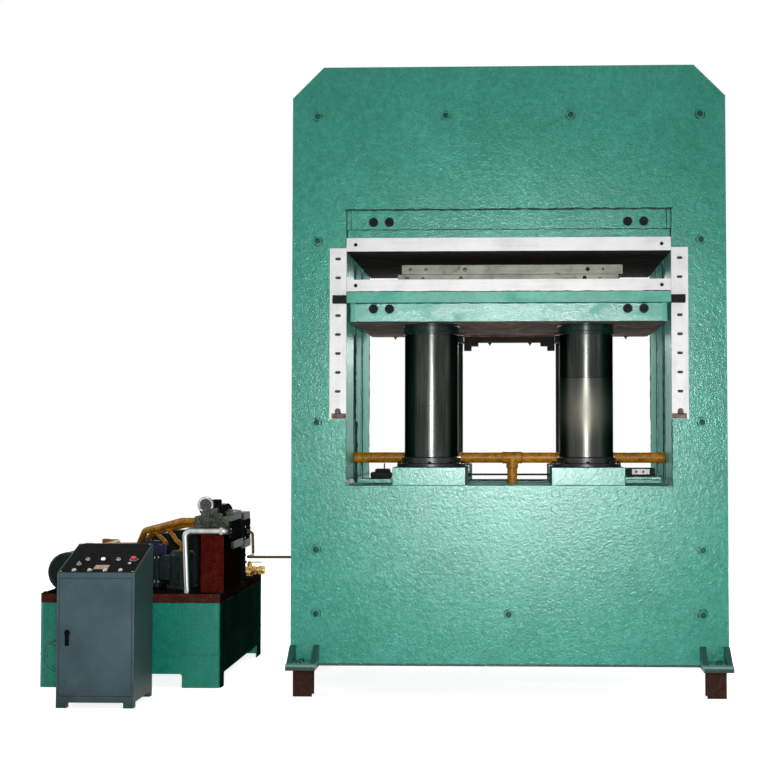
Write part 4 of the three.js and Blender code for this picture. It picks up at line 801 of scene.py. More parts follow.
# Dark beads under the plate and the platen: partly compound, partly painted shade in the gaps.
table_seams = Form()
beam_y, plate_y = BEAM_FRONT_Y - 0.0008, PLATEN_FRONT_Y - 0.0004
PLATE_LOW_Z, PLATE_TOP_Z = 2.2690, 2.3345
compound_and_shade_bead(table_seams, (-0.11, beam_y, PLATE_LOW_Z), (1.662, beam_y, PLATE_LOW_Z), 0.0030, 31)
plate_ends = (platen_left + 0.002, platen_right - 0.002)
compound_and_shade_bead(table_seams, *((x, plate_y, PLATE_TOP_Z) for x in plate_ends), 0.0022, 32)
make("moving_table_compound_and_shade", table_seams, compound_and_shade, "table")

# Mould: two ground steel plates, dowelled together and lying loose on the lower platen. Grey,
# oily and stained by rubber, with tapped lifting holes and ringed dowels along the front.

mould_steel = Coating("mould_steel", {"Specular IOR Level": 0.5})
mould_haze = mould_steel.grain(6, 5, 0.65)
mould_lines = mould_steel.grain(70, 3, 0.6, (0.06, 1, 1))
mould_stain = mould_steel.from_to(mould_steel.grain(11, 6, 0.7, twist=0.6), 0.56, 0.72)
mould_edges, mould_round = mould_steel.edges(0.002)
mould_colour = mould_steel.tones(
    0.55 * mould_haze + 0.45 * mould_lines,
    (0.34, rgb(76, 76, 67)), (0.5, rgb(102, 103, 93)), (0.66, rgb(128, 129, 118)),
)
mould_colour = mould_steel.mix(0.55 * mould_stain, mould_colour, rgb(70, 64, 52))
mould_steel.into(
    base_color=mould_steel.mix(0.4 * mould_edges, mould_colour, rgb(172, 172, 164)),
    roughness=0.36 + 0.2 * mould_lines + 0.15 * mould_stain,
    metallic=0.35 - 0.2 * mould_stain,
)
mould_steel.relief(mould_lines, 0.0008, mould_round)

moulds = (
    ("lower_mould", (0.124, 1.424), (2.4039, 2.4519), (0.1805, 0.274, 0.497), (1.224, 1.312)),
    ("upper_mould", (0.147, 1.447), (2.4522, 2.5082), (0.198, 0.292, 0.521), (1.242, 1.330)),
)
MOULD_FRONT_Y, MOULD_REAR_Y = -0.5245, 0.5955
ringed_dowel = [
    (0, 0), (0.007, 0), (0.009, 0.002), (0.0105, 0.002), (0.0115, 0), (0.0125, 0), (0.0125, 0.003),
    (0.011, 0.004), (0.0095, 0.003), (0.006, 0.005), (0, 0.0055),
]
for name, (x0, x1), (z0, z1), hole_places, (ring_x, dot_x) in moulds:
    plate, drill, dowels = Form(), Form(), Form()
    plate.block((x0, MOULD_FRONT_Y, z0), (x1, MOULD_REAR_Y, z1), 0.0025)
    middle = (z0 + z1) / 2
    for number, x in enumerate(hole_places):
        bore = 0.0095 + 0.002 * (number == 2)
        for face, into in ((MOULD_FRONT_Y - 0.01, 1), (MOULD_REAR_Y + 0.01, -1)):
            hole = [(0, 0), (bore, 0), (bore, 0.05), (0, 0.056)]
            drill.turned(hole, (x, face, middle), (0, into, 0), 24)
    small_hole = [(0, 0), (0.007, 0), (0.007, 0.04), (0, 0.044)]
    drill.turned(small_hole, (dot_x, MOULD_FRONT_Y - 0.01, middle), BACK, 24)
    plate.carve(drill)
    drill.mesh.free()
    make(name, plate, mould_steel, "table", (name,))
    dowels.turned(ringed_dowel, (ring_x, MOULD_FRONT_Y, middle), FORWARDS, 28)
    make(f"{name}_dowel", dowels, upper_platen_steel, "table")

# Rams: four ground and polished plungers under an oil film, given a nearly black colour that is a
# painted dark reflection of the surroundings they mirror. A collar under the table centres each
# one. The right front ram has a witness line half way up, below which it has run dull, and there
# it is painted paler round the height where it mirrors the softbox, a painted highlight.


def ram_steel(name, dull_below, glow_height=1.655):
    """Polished steel under an oil film, its nearly black colour a painted dark reflection.

    Below dull_below it has run dull: rougher and paler, most of all round the glow height, where
    the paler colour is a painted highlight.
    """
    steel = Coating(name, {"Metallic": 1.0, "Specular Tint": (0.34, 0.34, 0.34)})
    film = steel.grain(8, 4, 0.6, (1, 1, 0.25))
    lines = steel.grain(160, 2, 0.6, (1, 1, 0.02))
    turning = steel.grain(420, 2, 0.5, (0.02, 0.02, 1))
    glow = 1 - steel.from_to(abs(steel.height() - glow_height), 0.0, 0.21)
    dull = (steel.height() < dull_below) * (0.22 + 0.78 * glow)
    witness = steel.from_to(abs(steel.height() - dull_below), 0.003, 0.0012)
    # Nearly black tones: a painted dark reflection of the surroundings the rams mirror.
    colour = steel.tones(
        0.5 * film + 0.5 * lines, (0.34, rgb(36, 39, 36)), (0.52, rgb(52, 54, 51)), (0.70, rgb(76, 78, 74))
    )
    # Paler where the steel has run dull, most round the glow height, where it is a painted highlight.
    colour = steel.mix(0.50 * dull, colour, rgb(118, 117, 107))
    steel.into(
        base_color=steel.mix(0.7 * witness, colour, rgb(24, 26, 24)),
        roughness=0.19 + 0.05 * film + 0.05 * lines + 0.20 * dull,
    )
    steel.relief(turning, 0.00005)
    return steel


plain_ram_steel = ram_steel("ram_steel", 0.2)
witness_ram_steel = ram_steel("ram_steel_right_front", 1.843)
collar_green = brushed_paint(
    "ram_collar_paint", rgb(6, 18, 15), rgb(10, 32, 27), rgb(20, 50, 43), rgb(8, 12, 11),
    rough=0.26, level=0.25, brush=0.12,
)
RAM_RADIUS, RAM_FOOT_Z, RAM_TOP_Z, COLLAR_Z = 0.160, 1.100, 2.1627, 2.100
for end, y in zip(ends, RAM_Y):
    for hand, x in zip(hands, RAM_X):
        steel = witness_ram_steel if (end, hand) == ("front", "right") else plain_ram_steel
        plunger, collar, node = Form(), Form(), f"ram_{end}_{hand}"
        plunger.turned([
            (0, RAM_FOOT_Z), (RAM_RADIUS - 0.012, RAM_FOOT_Z), (RAM_RADIUS, RAM_FOOT_Z + 0.012),
            (RAM_RADIUS, COLLAR_Z), (RAM_RADIUS, RAM_TOP_Z), (0, RAM_TOP_Z),
        ], (x, y, 0), steps=112)
        make(node, plunger, steel, "table", (node,))
        collar.turned([
            (RAM_RADIUS + 0.0004, COLLAR_Z), (0.1645, COLLAR_Z), (0.1665, 2.102), (0.1665, 2.116),
            (0.1645, 2.118), (0.1645, 2.150), (0.170, 2.155), (0.170, RAM_TOP_Z),
            (RAM_RADIUS + 0.0004, RAM_TOP_Z),
        ], (x, y, 0), steps=96, closed=True)
        make(f"ram_collar_{end}_{hand}", collar, collar_green, "table")

# Cylinders: each hangs in a pocket of the frame by the square head that stands on the sill, and
# is closed by a black gland with a ring of screws round the ram. Head and barrel are painted,
# and the faces of the head that do not look forwards or back are painted near black, a painted
# shade.

# Side faces darkened fully by the side shade share: painted shade.
head_green = brushed_paint(
    "cylinder_head_green", rgb(32, 128, 110), rgb(48, 146, 128), rgb(72, 164, 146), rgb(14, 30, 26),
    rough=0.24, level=0.45, brush=1.5, cut=0.75, side_shade=1.0,
)
gland_black = brushed_paint(
    "gland_black", rgb(10, 12, 12), rgb(18, 21, 20), rgb(34, 38, 36), rgb(88, 84, 76),
    rough=0.34, brush=0.4, edge=0.002,
)


def bolt_circle(centre, radius, count, first=0, from_front=False):
    """Places in equal steps round a centre, on a face seen from above or from the front."""
    x, y, z = centre
    for i in range(count):
        turn = math.radians(360 / count * i + first)
        across, on = radius * math.cos(turn), radius * math.sin(turn)
        yield (x + across, y, z + on) if from_front else (x + across, y + on, z)


HEAD_TOP_Z, GLAND_TOP_Z, PORT_Z = 1.319, 1.337, 0.731
BARREL_RADIUS, BARREL_TOP_Z, BORE_RADIUS, GLAND_STEPS = 0.1712, SILL_Z + 0.004, 0.1615, 96
for end, y in zip(ends, RAM_Y):
    for hand, x in zip(hands, RAM_X):
        head, bore, gland, screws = Form(), Form(), Form(), Form()
        node = f"cylinder_{end}_{hand}"
        head.block((x - 0.212, y - 0.28, SILL_Z + 0.0003), (x + 0.212, y + 0.28, HEAD_TOP_Z), 0.005)
        bore.turned([
            (0, SILL_Z - 0.1), (BORE_RADIUS, SILL_Z - 0.1), (BORE_RADIUS, 1.4), (0, 1.4),
        ], (x, y, 0), steps=GLAND_STEPS)
        head.carve(bore)
        bore.mesh.free()
        head.turned([
            (0, 0.430), (BARREL_RADIUS, 0.430), (BARREL_RADIUS, BARREL_TOP_Z), (0.200, BARREL_TOP_Z),
            (0.200, 0.382), (0.190, 0.372), (0, 0.372),
        ], (x, y, 0), steps=64)
        port_face = (-0.143 if end == "front" else 0.2245) + 0.0003
        inner = y + (0.198 if end == "front" else -0.198)
        head.tube([(x, inner, PORT_Z), (x, port_face, PORT_Z)], 0.022, steps=24)
        make(node, head, head_green, stands_for=(node,))
        gland.turned([
            (0.1606, HEAD_TOP_Z + 0.0002), (0.203, HEAD_TOP_Z + 0.0002), (0.205, HEAD_TOP_Z + 0.002),
            (0.205, 1.335), (0.203, GLAND_TOP_Z), (0.180, GLAND_TOP_Z), (0.176, 1.341), (0.176, 1.371),
            (0.170, 1.377), (0.1645, 1.377), (0.1606, 1.370),
        ], (x, y, 0), steps=GLAND_STEPS, closed=True)
        make(f"gland_{end}_{hand}", gland, gland_black, stands_for=(node,))
        for place in bolt_circle((x, y, GLAND_TOP_Z), 0.1915, 8, -90):
            bolt_head(screws, place, UP, (0.0105, 0.012), 0.014, (0.0135, 0.002), 0.009)
        make(f"gland_screws_{end}_{hand}", screws, black_steel)

# Guide rails: four flat bars bolted upright over the ends of the window, slotted in a row so the
# table's stops can be set. Painted white over steel, with a rusty patch at the foot of each.

rail_white = Coating("guide_rail_white", {"Specular IOR Level": 0.4})
rail_cloud, rail_run = rail_white.grain(9, 5, 0.6), rail_white.grain(30, 4, 0.65, (1, 1, 0.1))
rail_edges, rail_round = rail_white.edges(0.003)
rail_colour = rail_white.tones(
    0.6 * rail_cloud + 0.4 * rail_run,
    (0.3, rgb(208, 207, 207)), (0.5, rgb(228, 227, 227)), (0.7, rgb(240, 239, 240)),
)
rail_colour = rail_white.mix(
    0.5 * rail_white.from_to(rail_white.grain(22, 5, 0.7), 0.66, 0.78), rail_colour, rgb(150, 128, 108)
)
rail_white.into(
    base_color=rail_white.mix(0.4 * rail_edges, rail_colour, rgb(140, 130, 122)),
    roughness=0.40 + 0.15 * rail_run,
)
rail_white.relief(0.5 * rail_run + 0.5 * rail_white.grain(120, 2), 0.0008, rail_round)

rust_tones = (
    (0.36, rgb(24, 32, 28)), (0.48, rgb(92, 76, 66)), (0.58, rgb(122, 108, 100)), (0.70, rgb(158, 154, 148)),
)
rust = even_finish(
    "clamp_rust", {"Specular IOR Level": 0.25}, (38, 6, 0.78, (1, 1, 1), 0.7), rust_tones,
    (0.6, 0.25, 80), (0.0018, 140, 4, 0.7), 0.002,
)

slot_dark = even_finish(
    "slot_dark", {"Specular IOR Level": 0.3}, (200,), ((0.4, rgb(36, 36, 36)), (0.65, rgb(76, 74, 72))),
    (0.5, 0.2, 300),
)

RAIL_CENTRES = (PRESS_X - 0.9875, PRESS_X + 0.9875)
SLOTS, TOP_SLOT_Z, SLOT_STEP = 9, 2.528, 0.110
for end, face, out in (("front", -0.6745, -1), ("rear", 0.7455, 1)):
    for hand, x in zip(hands, RAIL_CENTRES):
        dress(rail_white, f"guide_rail_{end}_{hand}")
        studs, patch = Form(), Form()
        floor_y = face - out * 0.012
        y0, y1 = sorted((floor_y, floor_y + out * 0.002))
        for i in range(SLOTS):
            level = TOP_SLOT_Z - SLOT_STEP * i
            for shift in (-0.0085, 0.0085):
                socket_screw(studs, (x + shift, floor_y, level), (0, out, 0), 0.0072, 0.0100)
            studs.block((x - 0.016, y0, level - 0.0075), (x + 0.016, y1, level + 0.0075), 0)
        make(f"rail_slot_screws_{end}_{hand}", studs, slot_dark)
        inner = 1 if hand == "left" else -1
        x0, x1 = sorted((x - inner * 0.036, x + inner * 0.0485))
        y0, y1 = sorted((face, face + out * 0.0004))
        patch.block((x0, y0, 1.5995), (x1, y1, 1.631), 0)
        patch.block((x - 0.016, y0, 1.626), (x + 0.020, y1, 1.642), 0)
        patch.block((x - 0.009, y0, 1.640), (x + 0.010, y1, 1.660), 0)
        make(f"rail_clamp_{end}_{hand}", patch, rust)

# Guide shoes: black steel jaws on the four corners of the table plate, which run along the rails.
# Each is a block with a lipped face, held by two screws.

for end, y0, y1 in (("front", PLATEN_FRONT_Y, -0.6750), ("rear", 0.7460, PLATEN_REAR_Y)):
    for hand, x0, x1 in (("left", -0.2413, -0.1593), ("right", 1.7113, 1.7933)):
        shoe, node = Form(), f"guide_shoe_{end}_{hand}"
        shoe.block((x0, y0, 2.2663), (x1, y1, 2.3143), 0.004)
        face, out = (y0, -1) if end == "front" else (y1, 1)
        inner0, inner1 = (x0 + 0.030, x1) if hand == "left" else (x0, x1 - 0.030)
        lip0, lip1 = sorted((face - out * 0.004, face + out * 0.0035))
        shoe.block((inner0, lip0, 2.2720), (inner1, lip1, 2.3090), 0.002)
        for share in (0.25, 0.75):
            place = (inner0 + share * (inner1 - inner0), face + out * 0.003, 2.2905)
            socket_screw(shoe, place, (0, out, 0), 0.0075, 0.006)
        make(node, shoe, black_steel, "table", (node,))

# Oil lines of the press: a thick feed pipe across the window with a tee down between the packs,
# a cross-over to the rear cylinders, and thin drain and supply lines. Welded steel tube in ochre
# paint, darkened by oil and heat, with weld beads and plugged ends.

pipe_ochre = brushed_paint(
    "pipe_ochre", rgb(90, 60, 10), rgb(148, 98, 14), rgb(196, 138, 30), rgb(44, 42, 28),
    rough=0.40, level=0.2, brush=0.35, edge=0.002, wear=0.4,
)
line_brown = brushed_paint(
    "line_brown", rgb(58, 44, 28), rgb(86, 68, 44), rgb(120, 98, 64), rgb(40, 34, 28),
    rough=0.45, level=0.3, brush=0.2, edge=0.001, wear=0.3,
)


def weld_bead(form, place, axis, radius, size=0.004):
    """A raised bead of weld round a pipe."""
    form.turned([
        (radius - 0.001, -size), (radius + 0.6 * size, -0.7 * size), (radius + size, 0),
        (radius + 0.6 * size, 0.7 * size), (radius - 0.001, size),
    ], place, axis, 28, closed=True)


def pipe_nut(form, place, axis, bore, radius, span, steps=24):
    """A hexagon nut round a pipe, from one place to another along it."""
    low, high = span
    profile = [(bore, low), (radius, low, 6), (radius, high, 6), (bore, high)]
    form.turned(profile, place, axis, steps, closed=True)


FEED_Y, FEED_Z, TEE_X, CROSS_Y, LINK_Y = -0.1545, 1.369, 0.796, 0.2155, -0.1335
tee_place = (TEE_X, FEED_Y, FEED_Z)
feed = Form()
feed.tube([(-0.2655, FEED_Y, FEED_Z), (1.8175, FEED_Y, FEED_Z)], 0.032, steps=40)
for x, out in ((-0.264, -1), (1.816, 1)):
    feed.turned([
        (0, 0), (0.0365, 0), (0.037, 0.001), (0.037, 0.015), (0.034, 0.018), (0.017, 0.018),
        (0.017, 0.018, 6), (0.017, 0.024, 6), (0, 0.024),
    ], (x, FEED_Y, FEED_Z), (out, 0, 0), 36)
    weld_bead(feed, (x - out * 0.004, FEED_Y, FEED_Z), ALONG, 0.031)
feed.tube([tee_place, (TEE_X, FEED_Y, PORT_Z - 0.001)], 0.030, steps=40)
tee_arms = [(0.0302, -0.058), (0.036, -0.056), (0.036, 0.056), (0.0302, 0.058)]
tee_leg = [(0.0302, -0.062), (0.036, -0.060), (0.036, 0.0), (0.0302, 0.0)]
for sleeve, axis in ((tee_arms, ALONG), (tee_leg, UP)):
    feed.turned(sleeve, tee_place, axis, 36, closed=True)
for x in (TEE_X - 0.058, TEE_X + 0.058):
    weld_bead(feed, (x, FEED_Y, FEED_Z), ALONG, 0.031)
weld_bead(feed, (TEE_X, FEED_Y, FEED_Z - 0.062), UP, 0.031)
feed.tube([tee_place, (TEE_X, CROSS_Y, FEED_Z), (TEE_X, CROSS_Y, PORT_Z + 0.0093)], 0.020, 0.040, 28, 12)
weld_bead(feed, (TEE_X, FEED_Y + 0.031, FEED_Z), BACK, 0.021)
feed.tube([(0.301, LINK_Y, PORT_Z), (1.251, LINK_Y, PORT_Z)], 0.009, steps=24)
for x in RAM_X:
    pipe_nut(feed, (x, LINK_Y, PORT_Z), ALONG, 0.009, 0.014, (-0.020, 0.020))
make("feed_pipe", feed, pipe_ochre, stands_for=("feed_pipe",))

DRAIN_Y, DRAIN_Z = -0.1035, 1.265
drain = Form()
for level, radius in ((DRAIN_Z, 0.006), (1.230, 0.005)):
    drain.tube([(0.527, DRAIN_Y, level), (1.025, DRAIN_Y, level)], radius, steps=20)
for x in (0.534, 1.018):
    pipe_nut(drain, (x, DRAIN_Y, DRAIN_Z), ALONG, 0.006, 0.012, (-0.006, 0.006))
make("drain_pipe", drain, black_steel, stands_for=("drain_pipe",))

SUPPLY_Y, SUPPLY_Z, DROP_X = 0.4265, 0.8793, -0.8900
supply = Form()
supply.tube([
    (-0.9427, SUPPLY_Y, SUPPLY_Z), (DROP_X - 0.006, SUPPLY_Y, SUPPLY_Z), (DROP_X, SUPPLY_Y, PORT_Z),
    (DROP_X, CROSS_Y, PORT_Z), (1.251, CROSS_Y, PORT_Z),
], 0.009, 0.024, 24, 12)
pipe_nut(supply, (-0.936, SUPPLY_Y, SUPPLY_Z), ALONG, 0.009, 0.0145, (-0.010, 0.010))
for x in (-0.300, *RAM_X):
    pipe_nut(supply, (x, CROSS_Y, PORT_Z), ALONG, 0.009, 0.0145, (-0.010, 0.010))
make("supply_pipe", supply, line_brown, stands_for=("supply_pipe",))

# Limit switch and buffers on the sill behind the front pack: a small pale switch box with two
# screws to the right of the rams, and a black buffer to the left. They are screwed to the middle
# pack over two painted ledges, which are sealed along their edges.

switch_cream = even_finish(
    "switch_cream", {"Specular IOR Level": 0.4}, (40,), ((0.35, rgb(196, 190, 186)), (0.6, rgb(232, 228, 226))),
    (0.4, 0.2, 90), (0.0004, 220, 2), 0.0015,
)
MIDDLE_FACE_Y = -0.1145
BACK_Y, LEDGE_Y, SWITCH_Y = MIDDLE_FACE_Y + 0.002, MIDDLE_FACE_Y - 0.055, MIDDLE_FACE_Y - 0.0900
switch, buffer, switch_marks = Form(), Form(), Form()
switch.block((1.520, SWITCH_Y, 1.268), (1.627, MIDDLE_FACE_Y - 0.046, 1.301), 0.003)
for x in (1.546, 1.589):
    socket_screw(switch_marks, (x, SWITCH_Y, 1.284), FORWARDS, 0.0075, 0.003)
buffer.block((1.472, MIDDLE_FACE_Y - 0.082, 1.2555), (1.660, BACK_Y, 1.3085), 0.003)
buffer.block((-0.066, MIDDLE_FACE_Y - 0.100, 1.2402), (0.060, BACK_Y, 1.282), 0.012)
buffer.block((-0.040, MIDDLE_FACE_Y - 0.088, 1.276), (0.052, MIDDLE_FACE_Y - 0.012, 1.302), 0.012)
pin_y = MIDDLE_FACE_Y - 0.050
buffer.tube([(0.016, pin_y, 1.298), (0.016, pin_y, 1.334)], 0.004, steps=16)
ledges, ledge_seams = Form(), Form()
for x0, x1, top, levels in ((1.455, 1.700, 1.2540, (1.2535, 1.2350)), (-0.150, 0.100, 1.2400, (1.2395,))):
    ledges.block((x0, LEDGE_Y, 1.2143), (x1, BACK_Y, top), 0.003)
    for number, level in enumerate(levels):
        start, stop = ((x, LEDGE_Y - 0.0005, level) for x in (x0, x1))
        compound_and_shade_bead(ledge_seams, start, stop, 0.0022, 60 + number)
make("limit_switch_foot", ledges, press_green)
make("ledge_caulk", ledge_seams, compound_and_shade)
make("limit_switch", switch, switch_cream)
make("limit_switch_screws", switch_marks, slot_dark)
make("sill_buffers", buffer, black_steel)

# Oil tank of the power unit: folded and welded sheet on four corner skirts, in glossy green
# enamel. A lower seam shows where the skirt is welded on, and the cleaning hole in front is
# closed by a round bolted cover. The right side, towards the press, is painted dark matte green,
# a painted shade.

UNIT_X, UNIT_Y = -1.488, -0.3735
TANK_WIDTH, TANK_DEPTH, TANK_TOP_Z, LID_TOP_Z = 1.096, 1.437, 0.503, 0.5573

tank_enamel = brushed_paint(
    "tank_enamel", rgb(18, 118, 99), rgb(26, 132, 112), rgb(34, 142, 121), rgb(16, 44, 38),
    rough=0.26, level=0.25, brush=0.25, edge=0.004, wear=0.4,
)
# Near black matte green for the tank's right side: painted shade.
shaded_side_green = brushed_paint(
    "tank_shaded_side_green", rgb(6, 24, 19), rgb(10, 34, 27), rgb(18, 50, 41), rgb(12, 28, 24),
    rough=0.7, level=0.0, brush=0.3, edge=0.004, wear=0.4,
)


def tank_outline(inset=0.0, corner=0.034, steps=10):
    """The tank's outline from above, drawn in by an inset."""
    side, radius, points = TANK_WIDTH / 2, corner - inset, []
    middles = ((side - corner, corner, -90), (side - corner, TANK_DEPTH - corner, 0),
               (corner - side, TANK_DEPTH - corner, 90), (corner - side, corner, 180))
    for x, y, first in middles:
        for i in range(steps + 1):
            turn = math.radians(first + 90 * i / steps)
            points.append((UNIT_X + x + radius * math.cos(turn), UNIT_Y + y + radius * math.sin(turn)))
    return points


def arched(low, high, top, radius=0.014, steps=6):
    """Outline of a cut-out that is open downwards, with rounded upper corners."""
    points = [(low, -0.02)]
    for middle, first in ((low + radius, 180), (high - radius, 90)):
        for i in range(steps + 1):
            turn = math.radians(first - 90 * i / steps)
            points.append((middle + radius * math.cos(turn), top - radius + radius * math.sin(turn)))
    return points + [(high, -0.02)]


SHEET, SKIRT_Z, TANK_FLOOR_Z = 0.006, 0.082, 0.088
tank, room, passes = Form(), Form(), Form()
tank.prism(tank_outline(), (0.0, TANK_TOP_Z))
room.prism(tank_outline(SHEET), (TANK_FLOOR_Z, 0.6))
room.prism(tank_outline(SHEET), (-0.05, SKIRT_Z))
tank.carve(room)
front_pass = arched(UNIT_X - 0.314, UNIT_X + 0.314, SKIRT_Z)
side_pass = arched(UNIT_Y + 0.100, UNIT_Y + TANK_DEPTH - 0.200, SKIRT_Z)
passes.prism(front_pass, (UNIT_Y - 0.1, UNIT_Y + TANK_DEPTH + 0.1), axis=1)
tank.carve(passes)
passes.mesh.clear()
passes.prism(side_pass, (UNIT_X - 0.7, UNIT_X + 0.7), axis=0)
tank.carve(passes)
passes.mesh.clear()
COVER_X, COVER_Z, HOLE_RADIUS = -1.909, 0.186, 0.070
cover_place = (COVER_X, UNIT_Y, COVER_Z)
passes.turned([(0, -0.05), (HOLE_RADIUS, -0.05), (HOLE_RADIUS, 0.05), (0, 0.05)], cover_place, BACK, 48)
tank.carve(passes)
for form in (room, passes):
    form.mesh.free()
SEAM_Z = 0.196
seam = [Vector((x, y, SEAM_Z)) for x, y in tank_outline(-0.0004)]
tank.tube(seam + seam[:1], lambda i: 0.0026 + 0.0006 * math.sin(7 * i), steps=8)
tank_shell = make("tank", tank, tank_enamel, stands_for=("tank",))
# The right side takes the dark finish: painted shade.
tank_shell.data.materials.append(shaded_side_green.material)
right_side_x = UNIT_X + TANK_WIDTH / 2 - 0.002
for sheet in tank_shell.data.polygons:
    sheet.material_index = int(sheet.normal.x > 0.7 or sheet.center.x > right_side_x)

cover, gasket, cover_bolts = Form(), Form(), Form()
cover.turned([
    (0, 0.002), (0.089, 0.002), (0.0905, 0.003), (0.0905, 0.0085), (0.088, 0.0105), (0.058, 0.0105),
    (0.055, 0.0085), (0, 0.0085),
], cover_place, FORWARDS, 64)
gasket.turned([(0, 0.0004), (0.0975, 0.0004), (0.0975, 0.0022), (0, 0.0022)], cover_place, FORWARDS, 64)
for place in bolt_circle((COVER_X, UNIT_Y - 0.0105, COVER_Z), 0.078, 6, from_front=True):
    bolt_head(cover_bolts, place, FORWARDS, (0.007, 0.006), 0.0064, (0.0085, 0.001))
make("clean_out_cover", cover, tank_enamel, stands_for=("clean_out_cover",))
make("clean_out_gasket", gasket, slot_dark)
make("clean_out_bolts", cover_bolts, tank_enamel)

# Tank lid: an upturned tray of thick sheet that carries the pumps and valves. Matte red-oxide
# paint gone brown with oil, much darker on its top, and on its right side, where the dark is
# painted shade as on the tank.

oxide_lid = brushed_paint(
    "oxide_lid", rgb(42, 18, 14), rgb(72, 34, 27), rgb(98, 52, 42), rgb(24, 14, 12),
    rough=0.72, level=0.04, brush=0.4, wear=0.6,
)
lid_dark_top_and_shaded_side = brushed_paint(
    "lid_dark_top_and_shaded_side", rgb(14, 9, 7), rgb(26, 16, 12), rgb(42, 27, 20), rgb(16, 12, 10),
    rough=0.8, level=0.0, brush=0.4,
)
lid, hollow, lid_screws = Form(), Form(), Form()
lid.prism(tank_outline(), (TANK_TOP_Z + 0.0003, LID_TOP_Z), rounding=0.004)
hollow.prism(tank_outline(0.008), (TANK_TOP_Z - 0.02, LID_TOP_Z - 0.008))
lid.carve(hollow)
hollow.mesh.free()
lid_tray = make("tank_lid", lid, oxide_lid, stands_for=("tank_lid",))
lid_tray.data.materials.append(lid_dark_top_and_shaded_side.material)
# Top and right side take the darker finish; on the right side it is painted shade.
for sheet in lid_tray.data.polygons:
    sheet.material_index = int(sheet.normal.x > 0.7 or sheet.normal.z > 0.7)
for share in (0.03, 0.25, 0.5, 0.75, 0.97):
    for x in (UNIT_X - 0.527, UNIT_X + 0.527):
        place = (x, UNIT_Y + share * TANK_DEPTH, LID_TOP_Z)
        bolt_head(lid_screws, place, UP, (0.010, 0.009), 0.0095, (0.017, 0.003))
make("tank_lid_screws", lid_screws, black_steel)

# Motors and pumps: two foot-mounted motors lie along the tank, each driving a gear pump. Cast
# and ribbed, in dark teal paint, with a ring-grilled fan cowl in front and a terminal box.

motor_teal = brushed_paint(
    "motor_teal", rgb(8, 19, 17), rgb(14, 32, 29), rgb(30, 56, 50), rgb(50, 54, 48),
    rough=0.46, level=0.12, brush=0.5, edge=0.002, wear=0.35,
)
AXIS_Z = 0.6793
ON_LID_Z = LID_TOP_Z + 0.0004


def lying_motor(form, x, front):
    """Fan cowl, ribbed body, end bell, feet and terminal box, its axis along Y."""
    body0, body1, back = front + 0.070, front + 0.276, front + 0.310
    grille = []
    for i in range(7):
        inner = 0.020 + 0.011 * i
        grille += [(inner, 0.006), (inner + 0.001, 0.001), (inner + 0.006, 0.001), (inner + 0.007, 0.006)]
    form.turned([
        (0, 0.001), (0.014, 0.001), (0.016, 0.003), *grille, (0.099, 0.002), (0.106, 0.001),
        (0.114, 0.006), (0.118, 0.016), (0.118, 0.068), (0.112, 0.0705), (0.1085, 0.0705),
        (0.1085, body1 - front), (0.098, 0.284), (0.084, 0.306), (0.080, 0.310), (0.030, 0.310),
        (0.028, 0.3125), (0.0168, 0.3125), (0.0168, 0.278), (0, 0.278),
    ], (x, front, AXIS_Z), BACK, 72)
    ribs = 44
    for i in range(ribs):
        rib = Matrix.Translation((x, 0, AXIS_Z)) @ Matrix.Rotation(2 * math.pi * i / ribs, 4, "Y")
        form.block((-0.0016, body0 + 0.002, 0.104), (0.0016, body1 - 0.003, 0.1155), 0, rib)
    middle = (body0 + body1) / 2
    form.block((x - 0.095, middle - 0.075, ON_LID_Z), (x + 0.095, middle + 0.075, LID_TOP_Z + 0.014), 0.003)
    for side in (-1, 1):
        x0, x1 = sorted((x + side * 0.052, x + side * 0.080))
        form.block((x0, middle - 0.068, LID_TOP_Z + 0.012), (x1, middle + 0.068, LID_TOP_Z + 0.052), 0.004)
        for y in (middle - 0.062, middle + 0.062):
            place = (x + side * 0.087, y, LID_TOP_Z + 0.014)
            bolt_head(form, place, UP, (0.0085, 0.010), 0.0105, (0.017, 0.003))
    box = Matrix.Translation((x, middle, AXIS_Z))
    form.block((0.098, -0.048, -0.044), (0.148, 0.048, 0.044), 0.005, box)
    form.block((0.146, -0.045, -0.041), (0.154, 0.045, 0.041), 0.003, box)
    form.turned([
        (0, 0), (0.013, 0, 6), (0.013, 0.012, 6), (0.009, 0.012), (0.008, 0.020), (0, 0.020),
    ], (x + 0.125, middle - 0.020, AXIS_Z - 0.044), (0, 0, -1), 24)
    return back


